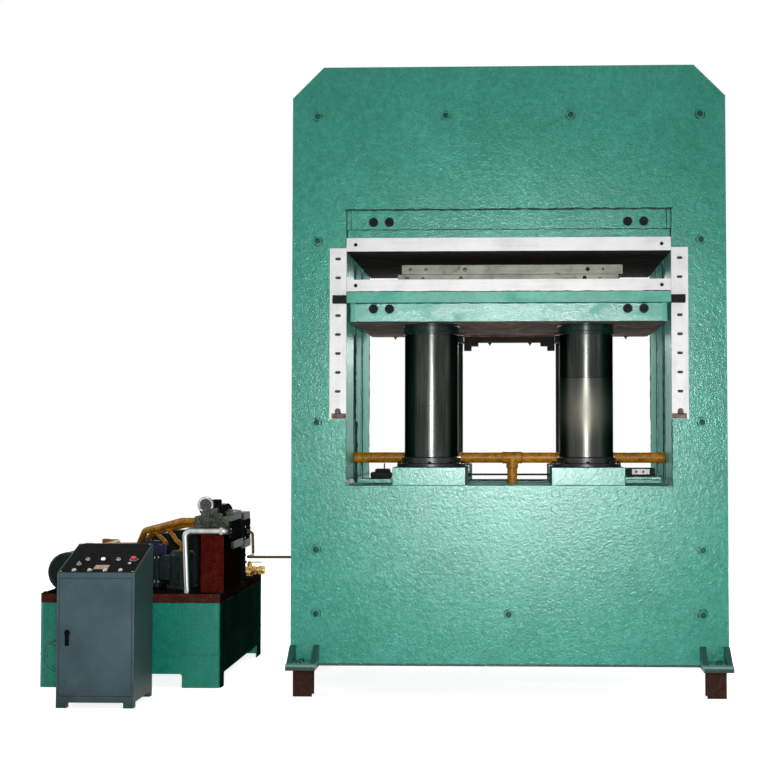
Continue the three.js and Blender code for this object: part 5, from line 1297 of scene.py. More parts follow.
def gear_pump(form, x, front, shaft=True):
    """Flanged gear pump with a ported top, on an angle foot."""
    bore = [(0, 0)]
    if shaft:
        bore = [(0, 0.031), (0.0168, 0.031), (0.0168, -0.0025), (0.030, -0.0025), (0.032, 0)]
    form.turned([
        *bore, (0.088, 0), (0.090, 0.002), (0.090, 0.024), (0.088, 0.026), (0.074, 0.026),
        (0.074, 0.060), (0.0755, 0.062), (0.0755, 0.070), (0.074, 0.072), (0.074, 0.112),
        (0.066, 0.120), (0, 0.120),
    ], (x, front, AXIS_Z), BACK, 56)
    for place in bolt_circle((x, front + 0.026, AXIS_Z), 0.081, 6, 30, from_front=True):
        bolt_head(form, place, BACK, (0.0075, 0.007), 0.0075, steps=18)
    for place in bolt_circle((x, front + 0.1195, AXIS_Z), 0.050, 4, 45, from_front=True):
        socket_screw(form, place, BACK, 0.0075, 0.006)
    form.block((x - 0.075, front + 0.001, ON_LID_Z), (x + 0.075, front + 0.025, AXIS_Z - 0.040), 0.003)
    form.block((x - 0.075, front + 0.001, ON_LID_Z), (x + 0.075, front + 0.090, LID_TOP_Z + 0.012), 0.003)
    form.turned([
        (0.010, 0.060), (0.030, 0.060), (0.030, 0.088), (0.034, 0.090), (0.034, 0.098),
        (0.030, 0.100), (0.010, 0.100),
    ], (x, front + 0.073, AXIS_Z), UP, 32, closed=True)


MAIN_X, SECOND_X = -1.892, -1.911
MAIN_FRONT_Y, SECOND_FRONT_Y, PUMP_FRONT_Y = -0.3145, 0.2405, 0.0855
main_motor, main_pump, second_set = Form(), Form(), Form()
main_back = lying_motor(main_motor, MAIN_X, MAIN_FRONT_Y)
gear_pump(main_pump, MAIN_X, PUMP_FRONT_Y)
second_back = lying_motor(second_set, SECOND_X, SECOND_FRONT_Y)
gear_pump(second_set, SECOND_X, second_back - 0.002, shaft=False)
sets = {"main_motor": main_motor, "main_pump": main_pump, "second_motor_pump": second_set}
for name, form in sets.items():
    make(name, form, motor_teal, stands_for=(name,))

# Coupling between the main motor and its pump: two flanges with a rubber spider between them,
# on ground shaft ends. It turns with the shaft, and its screws and set screw show that.

screw_steel = even_finish(
    "screw_steel", {"Specular IOR Level": 0.5}, (60, 4),
    ((0.35, rgb(132, 134, 130)), (0.65, rgb(214, 216, 212))), (0.24, 0.2, 90), (0.0004, 260, 2), 0.0015,
)
screw_steel.into(metallic=0.7 + 0.2 * screw_steel.grain(40))
coupling_steel, spider = Form(), Form()
middle = (main_back + PUMP_FRONT_Y) / 2
coupling_steel.tube([(MAIN_X, main_back - 0.0295, AXIS_Z), (MAIN_X, 0.115, AXIS_Z)], 0.016, steps=40)
for side in (-1, 1):
    coupling_steel.turned([
        (0.0155, 0.006), (0.039, 0.006), (0.040, 0.007), (0.040, 0.018), (0.038, 0.020), (0.028, 0.022),
        (0.028, 0.033), (0.026, 0.035), (0.0155, 0.035),
    ], (MAIN_X, middle, AXIS_Z), (0, side, 0), 48, closed=True)
    for place in bolt_circle((MAIN_X, middle + side * 0.0195, AXIS_Z), 0.0335, 6, from_front=True):
        socket_screw(coupling_steel, place, (0, side, 0), 0.0042, 0.004)
    socket_screw(coupling_steel, (MAIN_X, middle + side * 0.028, AXIS_Z + 0.0265), UP, 0.005, 0.004)
spider.turned([
    (0.0155, -0.0062), (0.036, -0.0062), (0.038, 0), (0.036, 0.0062), (0.0155, 0.0062),
], (MAIN_X, middle, AXIS_Z), BACK, 48, closed=True)
make("drive_shaft", coupling_steel, screw_steel, "coupling", ("drive_shaft",))
make("coupling_spider", spider, slot_dark, "coupling")

# Upright motor on the lid: flange-mounted, with upright ribs and a terminal box on its left. Cast
# and painted as the others are. An ochre pipe leads down to it.

UPRIGHT = (-1.252, -0.0395)
upright = Form()
upright.turned([
    (0, 0.0004), (0.090, 0.0004), (0.092, 0.002), (0.092, 0.016), (0.090, 0.018), (0.0745, 0.018),
    (0.0745, 0.196), (0.077, 0.198), (0.077, 0.206), (0.072, 0.220), (0.060, 0.2318), (0, 0.2318),
], (*UPRIGHT, LID_TOP_Z), steps=64)
upright_ribs = 36
for i in range(upright_ribs):
    turn = Matrix.Rotation(2 * math.pi * i / upright_ribs, 4, "Z")
    rib = Matrix.Translation((*UPRIGHT, LID_TOP_Z)) @ turn
    upright.block((0.070, -0.0014, 0.024), (0.0768, 0.0014, 0.192), 0, rib)
for place in bolt_circle((*UPRIGHT, LID_TOP_Z + 0.018), 0.084, 6, 10):
    bolt_head(upright, place, UP, (0.007, 0.007), 0.0074, steps=18)
foot = Matrix.Translation((*UPRIGHT, LID_TOP_Z))
upright.block((-0.030, -0.0885, 0.095), (0.030, -0.066, 0.155), 0.004, foot)
upright.block((-1.378, -0.085, 0.610), (-1.318, 0.006, 0.762), 0.008)
upright.block((-1.384, -0.078, 0.618), (-1.376, -0.001, 0.754), 0.003)
make("upright_motor", upright, motor_teal, stands_for=("upright_motor",))

# Line filter: a slim upright bowl in teal paint with bright hexagon nuts near its ends, screwed
# into a navy blue head that an ochre pipe enters from above.

navy_enamel = brushed_paint(
    "navy_enamel", rgb(8, 12, 32), rgb(14, 20, 50), rgb(26, 34, 72), rgb(50, 54, 60),
    rough=0.42, level=0.2, brush=0.3, edge=0.002, wear=0.35,
)
FILTER = (-1.430, 0.0605)
filter_body, filter_nuts, filter_head = Form(), Form(), Form()
filter_body.turned([
    (0, 0.0004), (0.034, 0.0004), (0.034, 0.016), (0.0325, 0.024), (0.027, 0.026), (0.027, 0.196),
    (0.025, 0.206), (0, 0.206),
], (*FILTER, LID_TOP_Z), steps=48)
over_bowl = Matrix.Translation((*FILTER, 0))
filter_head.block((-0.100, -0.034, 0.754), (0.066, 0.034, 0.822), 0.008, over_bowl)
filter_head.block((-0.096, -0.026, 0.820), (0.010, 0.026, 0.846), 0.005, over_bowl)
for level, radius, tall in ((0.026, 0.0300, 0.014), (0.176, 0.0290, 0.016)):
    bolt_head(filter_nuts, (*FILTER, LID_TOP_Z + level), UP, (radius, tall), tall, steps=30)
make("filter_head", filter_head, navy_enamel, stands_for=("filter",))
make("filter", filter_body, motor_teal, stands_for=("filter",))
make("filter_nuts", filter_nuts, screw_steel, stands_for=("filter",))

# Rear filters: a tall bowl and a screwed-down filter housing on a base plate, which stand on the
# lid behind the return pipe. Cast and drawn, in nearly black paint. Guessed from dark shapes.

filter_dark = brushed_paint(
    "filter_dark", rgb(12, 14, 10), rgb(20, 26, 20), rgb(34, 42, 34), rgb(60, 60, 50),
    rough=0.5, level=0.05, brush=0.3, edge=0.002, wear=0.3,
)
tall_filter = Form()
tall_filter.turned([
    (0, 0.0004), (0.052, 0.0004), (0.052, 0.014), (0.046, 0.018), (0.043, 0.020), (0.043, 0.296),
    (0.047, 0.298), (0.047, 0.318), (0.042, 0.324), (0.016, 0.326), (0.016, 0.326, 6),
    (0.016, 0.342, 6), (0, 0.342),
], (-1.208, 0.140, LID_TOP_Z), steps=56)
for (x0, y0, z0), (x1, y1, z1), rounding in (
    ((-1.540, 0.290, 0.0004), (-1.150, 0.400, 0.030), 0.003),
    ((-1.530, 0.300, 0.028), (-1.400, 0.390, 0.318), 0.014),
    ((-1.416, 0.300, 0.028), (-1.160, 0.390, 0.338), 0.014),
    ((-1.400, 0.296, 0.060), (-1.280, 0.302, 0.290), 0.003),
):
    tall_filter.block((x0, y0, LID_TOP_Z + z0), (x1, y1, LID_TOP_Z + z1), rounding)
for x in (-1.391, -1.289):
    for level in (0.072, 0.278):
        socket_screw(tall_filter, (x, 0.2962, LID_TOP_Z + level), FORWARDS, 0.006, 0.005)
make("rear_filters", tall_filter, filter_dark)

# Valve stand: a box of folded sheet that stands on the lid, open behind, and carries the
# manifold. It is in deep red-oxide enamel and held down by two small bolts in front; its faces
# that do not look forwards or back are painted near black, a painted shade.

# Side faces darkened strongly by the side shade share: painted shade.
stand_red = brushed_paint(
    "stand_red", rgb(54, 13, 9), rgb(78, 21, 15), rgb(98, 31, 23), rgb(16, 12, 9),
    rough=0.5, level=0.0, brush=0.25, edge=0.004, wear=0.4, cut=0.2, side_shade=1.3,
)
dress(stand_red, "valve_stand")
STAND_FRONT_Y = -0.2845
stand_bolts = Form()
for x in (-1.070, -0.958):
    bolt_head(stand_bolts, (x, STAND_FRONT_Y, 0.595), FORWARDS, (0.0065, 0.004), 0.0044, steps=18)
make("valve_stand_bolts", stand_bolts, black_steel)

# Manifold: a machined block with two solenoid valves lying across it, a relief valve and plugged
# ports, and a black cover on its right. Grey-green castings, black coils, bright nuts, oil in
# every corner.

valve_grey = brushed_paint(
    "valve_grey", rgb(28, 34, 28), rgb(60, 66, 57), rgb(108, 112, 100), rgb(150, 150, 140),
    rough=0.5, level=0.12, brush=0.5, edge=0.002, wear=0.5,
)
coil_black = even_finish(
    "coil_black", {"Specular IOR Level": 0.0}, (50,), ((0.35, rgb(14, 15, 15)), (0.65, rgb(32, 34, 34))),
    (0.55, 0.2, 120), (0.0003, 400, 2), 0.0015,
)

BLOCK_TOP_Z = 1.0153
COVER_FACE_X = -0.9000
manifold, coils, bright_nuts = Form(), Form(), Form()
manifold.block((-1.124, STAND_FRONT_Y, 0.9056), (-0.914, 0.0555, BLOCK_TOP_Z), 0.003)
coils.block((-0.9142, -0.2820, 0.8760), (COVER_FACE_X, 0.0530, 0.9860), 0.003)
coils.block((-0.9010, -0.1350, 0.8900), (-0.8975, -0.0400, 0.9700), 0.001)
manifold.block((-0.9600, -0.2300, BLOCK_TOP_Z - 0.001), (COVER_FACE_X, 0.0500, 1.0390), 0.005)
manifold.block((-0.9250, -0.2800, 0.9855), (-0.9010, 0.0500, 1.0160), 0.003)
manifold.block((-0.9440, -0.1900, 1.0380), (-0.9140, -0.1500, 1.0520), 0.004)
for x, z, across, tall, out in (
    (-1.098, 0.965, 0.034, 0.060, 0.010), (-1.052, 0.945, 0.044, 0.052, 0.014),
    (-0.996, 0.975, 0.040, 0.044, 0.012), (-0.952, 0.940, 0.038, 0.048, 0.009),
    (-1.020, 0.993, 0.052, 0.026, 0.016),
):
    manifold.block(
        (x - across / 2, STAND_FRONT_Y - out, z - tall / 2), (x + across / 2, -0.2800, z + tall / 2), 0.004
    )
VALVE_Y = (-0.1512, -0.0378)
for y in VALVE_Y:
    on_block = Matrix.Translation((0, y, BLOCK_TOP_Z))
    manifold.block((-1.079, -0.040, -0.001), (-0.959, 0.040, 0.014), 0.002, on_block)
    coils.block((-1.074, -0.034, 0.013), (-0.964, 0.034, 0.066), 0.006, on_block)
    coils.block((-1.066, -0.028, 0.062), (-1.010, 0.028, 0.092), 0.010, on_block)
    for side, x in ((-1, -1.079), (1, -0.983)):
        coils.turned([
            (0, -0.006), (0.024, -0.006), (0.027, -0.003), (0.027, 0.030), (0.024, 0.034),
            (0.015, 0.034), (0.014, 0.040), (0, 0.040),
        ], (x, y, BLOCK_TOP_Z + 0.031), (side, 0, 0), 36)
        x0, x1 = sorted((x + side * 0.006, x + side * 0.028))
        coils.block((x0, -0.014, 0.048), (x1, 0.014, 0.0615), 0.003, on_block)
    for dx in (-0.046, 0.046):
        for dy in (-0.026, 0.026):
            socket_screw(bright_nuts, (-1.019 + dx, y + dy, BLOCK_TOP_Z + 0.063), UP, 0.0055, 0.004)
for x, radius in ((-1.075, 0.010), (-1.026, 0.011), (-0.974, 0.009), (-0.932, 0.008)):
    place = (x, STAND_FRONT_Y, 0.950 + 0.4 * radius)
    bolt_head(manifold, place, FORWARDS, (0.86 * radius, 0.010), 0.011, (radius, 0.002))
for y in (-0.230, -0.170, -0.018, 0.026):
    bolt_head(coils, (COVER_FACE_X, y, 0.955), ALONG, (0.009, 0.0025), 0.003, (0.011, 0.001))
coils.turned([
    (0, 0), (0.020, 0, 6), (0.020, 0.016, 6), (0.014, 0.018), (0.014, 0.034), (0.010, 0.036),
    (0.010, 0.052), (0.017, 0.052), (0.017, 0.0605), (0, 0.0605),
], (-0.958, -0.240, BLOCK_TOP_Z), steps=30)
manifold.turned([
    (0, 0), (0.022, 0), (0.022, 0.030), (0.016, 0.036), (0.016, 0.050), (0, 0.052),
], (-1.092, 0.022, BLOCK_TOP_Z), steps=30)
for x, y, z, size in (
    (-1.050, -0.292, 1.030, 0.030), (-1.012, -0.270, 1.042, 0.034), (-0.978, -0.280, 1.016, 0.030),
    (-1.030, -0.300, 0.996, 0.026), (-0.992, -0.296, 0.966, 0.024),
):
    low = (x - size, y - 0.6 * size, z - 0.7 * size)
    manifold.block(low, (x + 0.8 * size, y + 0.9 * size, z + 0.6 * size), 0.009)
    place = (x - 0.1 * size, y - 0.6 * size, z)
    bolt_head(manifold, place, FORWARDS, (0.36 * size, 0.018), 0.018, (0.5 * size, 0.010))
make("manifold", manifold, valve_grey, stands_for=("manifold",))
make("manifold_coils", coils, coil_black, stands_for=("manifold",))
make("manifold_nuts", bright_nuts, screw_steel, stands_for=("manifold",))

# Pressure gauge: a drawn steel case with a chromed bezel and a pale dial behind the rim,
# painted dark grey as painted shade, on a stem that is screwed into the manifold. The dial has
# plain ticks and a needle at rest.

chrome = even_finish(
    "bezel_chrome", {"Metallic": 1.0}, (20, 4), ((0.35, rgb(150, 152, 154)), (0.65, rgb(208, 210, 210))),
    (0.16, 0.16, 60), (0.0003, 180, 2),
)
# The pale dial is painted dark grey: painted shade behind the rim.
dial_shaded_grey = even_finish(
    "dial_shaded_grey", {"Specular IOR Level": 0.2, "Coat Weight": 0.3, "Coat Roughness": 0.05}, (30, 4),
    ((0.35, rgb(42, 46, 40)), (0.65, rgb(84, 87, 76))), (0.45, 0.2, 50),
)
DIAL_X, DIAL_Y, DIAL_Z, STEM_Y = -1.060, -0.2405, 1.0833, -0.2555
gauge_case, dial, needle = Form(), Form(), Form()
gauge_place = (DIAL_X, DIAL_Y, DIAL_Z)
gauge_case.turned([
    (0, 0), (0.040, 0), (0.044, 0.004), (0.044, 0.022), (0.0475, 0.023), (0.0478, 0.027),
    (0.046, 0.0298), (0.037, 0.0298), (0.0355, 0.026), (0.0355, 0.0235), (0, 0.0235),
], gauge_place, FORWARDS, 64)
gauge_case.turned([
    (0.007, -0.0675), (0.0125, -0.0675, 6), (0.0125, -0.0545, 6), (0.0085, -0.054),
    (0.0085, -0.040), (0.007, -0.040),
], (DIAL_X, STEM_Y, DIAL_Z), UP, 30, closed=True)
dial.turned([(0, 0.0235), (0.0352, 0.0235), (0.0352, 0.0242), (0, 0.0242)], gauge_place, FORWARDS, 48)
needle.turned([
    (0.0442, 0.004), (0.0462, 0.004), (0.0498, 0.0225), (0.0498, 0.0262), (0.0478, 0.0268),
    (0.0442, 0.0225),
], gauge_place, FORWARDS, 64, closed=True)


def on_dial(height, degrees):
    """A frame on the dial, its X axis pointing out from the middle at this many degrees."""
    middle = Matrix.Translation((DIAL_X, DIAL_Y - height, DIAL_Z))
    return middle @ Matrix.Rotation(-math.radians(degrees), 4, "Y")


TICKS, FIRST_TICK, TICK_STEP = 21, 225, 13.5
for i in range(TICKS):
    long = 0.0075 if i % 5 == 0 else 0.0045
    tick = on_dial(0.0246, FIRST_TICK - TICK_STEP * i)
    needle.block((0.033 - long, -0.0002, -0.0005), (0.033, 0.0003, 0.0005), 0, tick)
needle.block((-0.010, -0.0004, -0.0012), (0.030, 0.0004, 0.0008), 0, on_dial(0.0256, 222))
needle.turned([(0, 0.0242), (0.004, 0.0242), (0.004, 0.0268), (0, 0.0272)], gauge_place, FORWARDS, 24)
make("pressure_gauge", gauge_case, chrome, stands_for=("pressure_gauge",))
make("gauge_dial", dial, dial_shaded_grey)
make("gauge_marks", needle, slot_dark)

# Rear valve block: a grey casting on a black pedestal, topped by a black valve with a hexagon
# plug, from which the thin supply line leaves for the press.

rear_block, rear_dark, rear_nuts = Form(), Form(), Form()
rear_dark.block((-1.086, 0.3065, 0.8300), (-0.930, 0.5465, 0.9603), 0.004)
rear_block.block((-1.078, 0.3045, 0.7800), (-0.926, 0.5385, 0.8305), 0.006)
rear_dark.block((-1.066, 0.3265, ON_LID_Z), (-0.958, 0.5265, 0.781), 0.004)
rear_block.block((-0.990, 0.3120, 0.9593), (-0.932, 0.5400, 1.0060), 0.005)
rear_dark.block((-1.0695, 0.3935, 0.9393), (-0.9595, 0.4595, 0.9745), 0.005)
rear_block.block((-1.0695, 0.3935, 0.9740), (-0.9595, 0.4595, 1.0063), 0.005)
rear_block.block((-1.062, 0.3160, 0.9393), (-0.967, 0.3840, 0.9850), 0.004)
rear_block.block((-1.040, 0.4700, 0.9393), (-0.960, 0.5300, 0.9760), 0.004)
bolt_head(rear_nuts, (-1.0145, SUPPLY_Y, 1.0063), UP, (0.016, 0.017), 0.018, steps=30)
for y in (0.345, 0.508):
    for level in (0.845, 0.915):
        socket_screw(rear_nuts, (-0.930, y, level), ALONG, 0.006, 0.003)
        socket_screw(rear_nuts, (-1.086, y, level), (-1, 0, 0), 0.009, 0.006)
for x in (-1.055, -0.975):
    bolt_head(rear_nuts, (x, 0.3065, 0.880), FORWARDS, (0.013, 0.010), 0.011)
make("rear_valve_block", rear_block, valve_grey, stands_for=("rear_valve_block",))
make("rear_valve_body", rear_dark, coil_black, stands_for=("rear_valve_block",))
make("rear_valve_nuts", rear_nuts, screw_steel, stands_for=("rear_valve_block",))

# Side valve: a long grey casting on the right side of the valve stand, under the manifold's
# cover. Guessed from a grey patch that shows there.

side_valve = Form()
side_valve.block((-0.9445, -0.060, 0.8030), (-0.9250, 0.262, 0.8480), 0.006)
make("stand_side_valve", side_valve, valve_grey)

# Return pipe: bright zinc-plated tube, bent up beside the stand and across its top, with union
# nuts at both ends. Its faces that look forwards or back are painted bright and its other faces
# dark: a painted sheen and painted shade.

# Faces that look forwards or back bright, other faces dark: painted sheen and painted shade.
zinc = Coating("zinc_plate_painted_sheen", {"Metallic": 0.7, "Specular Tint": (0.3, 0.3, 0.3)})
zinc_run = zinc.grain(24, 3, 0.5, (1, 1, 0.12))
zinc.into(
    base_color=zinc.mix(
        zinc.from_to(abs(zinc.facing("Y")), 0.50, 1.0),
        zinc.tones(zinc_run, (0.3, rgb(40, 43, 40)), (0.7, rgb(66, 69, 66))),
        zinc.tones(zinc_run, (0.3, rgb(172, 174, 172)), (0.7, rgb(208, 210, 208))),
    ),
    roughness=0.30 + 0.08 * zinc.grain(40),
)
zinc.relief(zinc.grain(60, 2), 0.0001)
RETURN_Y, RETURN_Z, RETURN_FOOT_X = -0.3245, 0.9290, -1.156
return_pipe = Form()
return_pipe.tube([
    (RETURN_FOOT_X, RETURN_Y, LID_TOP_Z + 0.0003), (-1.172, RETURN_Y, RETURN_Z),
    (-0.915, RETURN_Y, RETURN_Z), (-0.915, -0.2848, RETURN_Z),
], 0.0195, 0.034, 32, 12)
for place, axis in (
    ((RETURN_FOOT_X, RETURN_Y, LID_TOP_Z + 0.001), UP), ((-0.960, RETURN_Y, RETURN_Z), ALONG),
):
    return_pipe.turned([
        (0.0194, 0), (0.0240, 0, 6), (0.0240, 0.016, 6), (0.0215, 0.019), (0.0215, 0.024), (0.0194, 0.024),
    ], place, axis, 30, closed=True)
make("return_pipe", return_pipe, zinc, stands_for=("return_pipe",))

# Pressure pipes: thick ochre tubes that leave both pumps through elbow blocks, joined and led up
# over the motors to the manifold, with branches bent down to the upright motor and the filter.

pressure = Form()
KNEE, CREST = Vector((-1.500, 0.022, 0.908)), Vector((-1.237, -0.1145, 0.977))
PUMP_Y, SECOND_PUMP_Y, PIPE_FOOT_Z, LOW_Z = 0.1585, 0.6215, 0.7796, 0.800
JOIN_X, MANIFOLD_X, INNER_Y, INNER_Z = -1.821, -1.1243, -0.050, 0.952
pressure.tube([
    (MAIN_X, PUMP_Y, LOW_Z), (-1.575, PUMP_Y, LOW_Z), KNEE, CREST, (MANIFOLD_X, CREST.y, CREST.z),
], 0.021, 0.060, 32, 12)
pressure.tube([
    (SECOND_X, SECOND_PUMP_Y, LOW_Z), (JOIN_X, SECOND_PUMP_Y, LOW_Z), (JOIN_X, PUMP_Y, LOW_Z),
], 0.015, 0.036, 32, 12)
pressure.tube([
    (JOIN_X, 0.205, LOW_Z), (-1.560, 0.205, LOW_Z + 0.004), (-1.455, 0.075, 0.900),
    (-1.225, INNER_Y, INNER_Z), (MANIFOLD_X, INNER_Y, INNER_Z),
], 0.020, 0.060, 32, 12)
for x, y, size in ((MAIN_X, PUMP_Y, 0.027), (SECOND_X, SECOND_PUMP_Y, 0.021)):
    low = (x - size, y - size, PIPE_FOOT_Z + 0.006)
    pressure.block(low, (x + size, y + size, LOW_Z + 0.8 * size), 0.004)
    pressure.turned([
        (0.0148, 0), (0.026, 0), (0.026, 0.008), (0.021, 0.010), (0.0148, 0.010),
    ], (x, y, PIPE_FOOT_Z), UP, 36, closed=True)
filter_port = (FILTER[0] + 0.050, FILTER[1])
for (x, y), top, share, reach in ((UPRIGHT, 0.7896, 0.45, 0.062), (filter_port, 0.8216, 0.02, 0.030)):
    start = KNEE.lerp(CREST, share)
    over = Vector((x - 0.6 * reach, y, top + reach))
    shoulder = start.lerp(over, 0.6) + Vector((0, 0, 0.022))
    pressure.tube([(x, y, top), (x, y, top + 0.5 * reach), over, shoulder, start], 0.0135, 0.014, 28, 12)
    pipe_nut(pressure, (x, y, top), UP, 0.0134, 0.019, (0, 0.014), 30)
for y, z in ((CREST.y, CREST.z), (INNER_Y, INNER_Z)):
    pipe_nut(pressure, (-1.150, y, z), ALONG, 0.0150, 0.024, (-0.012, 0.012), 30)
make("pressure_pipe", pressure, pipe_ochre, stands_for=("pressure_pipe",))

# Stop valve: cast brass, lying on a short foot at the back of the lid, with hexagon ends and a
# packing nut. Its lever turns a quarter on the spindle.

brass_tones = ((0.36, rgb(120, 84, 20)), (0.5, rgb(184, 140, 44)), (0.62, rgb(236, 214, 150)))
brass = even_finish(
    "cast_brass", {"Specular IOR Level": 0.5}, (50, 5, 0.65), brass_tones,
    (0.32, 0.2, 120), (0.0010, 170, 3, 0.6), 0.0015,
)
brass.into(metallic=0.45 + 0.3 * brass.grain(50, 5, 0.65))
STOP_X, STOP_Y, STOP_Z, LEVER_Z, RISER_X = -0.983, 0.8165, 0.5963, 0.6433, -1.026
stop_valve, lever = Form(), Form()
stop_valve.turned([
    (0, ON_LID_Z), (0.022, ON_LID_Z), (0.022, 0.562), (0.016, 0.566), (0.016, STOP_Z), (0, STOP_Z),
], (STOP_X, STOP_Y, 0), steps=36)
stop_valve.turned([
    (0, -0.053), (0.0245, -0.053, 6), (0.0245, -0.036, 6), (0.019, -0.034), (0.019, -0.026),
    (0.025, -0.018), (0.025, 0.018), (0.019, 0.026), (0.019, 0.034), (0.0245, 0.036, 6),
    (0.0245, 0.053, 6), (0, 0.053),
], (STOP_X, STOP_Y, STOP_Z), BACK, 42)
stop_valve.turned([
    (0.0064, 0.615), (0.0064, LEVER_Z), (0.014, LEVER_Z), (0.014, 0.636), (0.017, 0.636, 6),
    (0.017, 0.624, 6), (0.014, 0.622), (0.014, 0.605), (0.0064, 0.605),
], (STOP_X, STOP_Y, 0), steps=30, closed=True)
lever.turned([
    (0, -0.0292), (0.0058, -0.0292), (0.0058, 0.0005), (0.013, 0.0005), (0.013, 0.0085),
    (0.0115, 0.0100), (0, 0.0100),
], (STOP_X, STOP_Y, LEVER_Z), steps=36)
lever_low, lever_high = (0.004, -0.0075, 0.0010), (0.084, 0.0075, 0.0085)
lever_foot = Matrix.Translation((STOP_X, STOP_Y, LEVER_Z))
lever.block(lever_low, lever_high, 0.003, lever_foot)
stop_valve.turned([
    (0, -0.006), (0.031, -0.006, 6), (0.031, 0.022, 6), (0.024, 0.024), (0.024, 0.046),
    (0.033, 0.048, 6), (0.033, 0.070, 6), (0.028, 0.074), (0.028, 0.086), (0, 0.086),
], (-0.966, STOP_Y, STOP_Z - 0.002), ALONG, 42)
stop_valve.turned([
    (0, 0.004), (0.020, 0.004), (0.020, 0.030), (0.026, 0.032, 6), (0.026, 0.058, 6),
    (0.018, 0.060), (0, 0.060),
], (-1.000, STOP_Y, STOP_Z + 0.006), (-1, 0, 0), 42)
stop_valve.tube([(RISER_X, STOP_Y, STOP_Z + 0.006), (RISER_X, STOP_Y, 0.690)], 0.014, steps=24)
pipe_nut(stop_valve, (RISER_X, STOP_Y, 0.640), UP, 0.0135, 0.024, (0, 0.018), 30)
stop_valve.turned([
    (0, 0), (0.020, 0, 6), (0.020, 0.014, 6), (0.012, 0.016), (0, 0.017),
], (RISER_X, STOP_Y, 0.690), UP, 30)
make("stop_valve", stop_valve, brass, stands_for=("stop_valve",))
make("stop_valve_lever", lever, brass, "valve_lever", ("stop_valve_lever",))

# Control cabinet: folded sheet on four short legs, with a sloping console. Semi-gloss blue-grey
# paint in front, with the faces that do not look forwards or back painted dark green-grey as
# painted shade, scuffed and grimy lower down; the console is covered by a black panel.

CABINET_X, CABINET_Y = -1.5055, -1.0545
cabinet_paint = Coating("cabinet_paint", {"Specular IOR Level": 0.1})
cabinet_haze = cabinet_paint.grain(3.5, 5, 0.6)
cabinet_scuff = cabinet_paint.from_to(cabinet_paint.grain(16, 5, 0.72, (1, 1, 0.5)), 0.60, 0.74)
cabinet_edges, cabinet_round = cabinet_paint.edges(0.0025)
cabinet_colour = cabinet_paint.tones(
    cabinet_haze, (0.32, rgb(74, 95, 101)), (0.5, rgb(83, 106, 112)), (0.68, rgb(93, 116, 121))
)
# Faces that do not look forwards or back painted dark green-grey: painted shade.
cabinet_colour = cabinet_paint.mix(0.75 * cabinet_paint.off_front(), cabinet_colour, rgb(20, 50, 45))
cabinet_colour = cabinet_paint.mix(0.30 * cabinet_scuff, cabinet_colour, rgb(48, 56, 58))
cabinet_splash = cabinet_paint.height() + 0.12 * cabinet_paint.grain(12, 5, 0.7)
cabinet_grime = cabinet_paint.from_to(cabinet_splash, 0.24, 0.04)
cabinet_colour = cabinet_paint.mix(0.5 * cabinet_grime, cabinet_colour, rgb(40, 44, 42))
cabinet_chips = cabinet_edges * cabinet_paint.from_to(cabinet_paint.grain(60, 4, 0.7), 0.55, 0.62)
cabinet_paint.into(
    base_color=cabinet_paint.mix(0.6 * cabinet_chips, cabinet_colour, rgb(126, 134, 134)),
    roughness=0.40 + 0.12 * cabinet_haze + 0.2 * cabinet_scuff,
)
cabinet_dents = 0.5 * cabinet_paint.grain(180, 3, 0.6) + 0.5 * cabinet_paint.grain(5, 2)
cabinet_paint.relief(cabinet_dents, 0.0012, cabinet_round)
dress(cabinet_paint, "cabinet_shell", "cabinet_door")

CONSOLE_FOOT_Z, CONSOLE_RISE, CONSOLE_DEPTH, CONSOLE_WIDTH = 0.743, 0.132, 0.420, 0.433
CONSOLE_SLOPE = math.atan2(CONSOLE_RISE, CONSOLE_DEPTH)
CONSOLE_LENGTH = math.hypot(CONSOLE_RISE, CONSOLE_DEPTH)
console_foot = Matrix.Translation((CABINET_X, CABINET_Y, CONSOLE_FOOT_Z))
CONSOLE = console_foot @ Matrix.Rotation(CONSOLE_SLOPE, 4, "X")
CONSOLE_UP = tuple(CONSOLE.to_3x3() @ Vector((0, 0, 1)))
PANEL = 0.0012


def on_console(x, y, z=0.0):
    return CONSOLE @ Vector((x, y, z))


panel_black = even_finish(
    "panel_black", {"Specular IOR Level": 0.03}, (24, 5, 0.65), ((0.34, rgb(6, 8, 7)), (0.66, rgb(18, 21, 18))),
    (0.62, 0.2, 60), (0.0004, 300, 2), 0.001,
)
panel, panel_holes, panel_screws = Form(), Form(), Form()
panel.block((-0.2085, 0.010, 0.0002), (0.2085, CONSOLE_LENGTH - 0.006, PANEL), 0, CONSOLE)
button_places = [(CONSOLE_WIDTH * (0.2 * (i + 1) - 0.5), 0.07 * CONSOLE_LENGTH) for i in range(4)]
stop_place = (CONSOLE_WIDTH * 0.38, 0.43 * CONSOLE_LENGTH)
knob_place = (CONSOLE_WIDTH * -0.29, 0.26 * CONSOLE_LENGTH)
stem_holes = [(place, 0.0076) for place in button_places] + [(stop_place, 0.0116), (knob_place, 0.0066)]
for (x, y), radius in stem_holes:
    hole = [(0, -0.01), (radius, -0.01), (radius, 0.01), (0, 0.01)]
    panel_holes.turned(hole, on_console(x, y), CONSOLE_UP, 24)
panel.carve(panel_holes)
panel_holes.mesh.free()
make("console_panel", panel, panel_black)
panel_screw = [(0, 0), (0.0045, 0), (0.004, 0.0016), (0.0013, 0.002), (0, 0.0012)]
for x in (-0.200, 0.200):
    for y in (0.018, CONSOLE_LENGTH - 0.014):
        panel_screws.turned(panel_screw, on_console(x, y, PANEL), CONSOLE_UP, 20)
make("console_screws", panel_screws, screw_steel)

# Lamps, blank plate and key switch on the console: three round lamps, one of them lit white, a
# pale metal plate without any marking, and a small key lock. All are set in chromed rings.


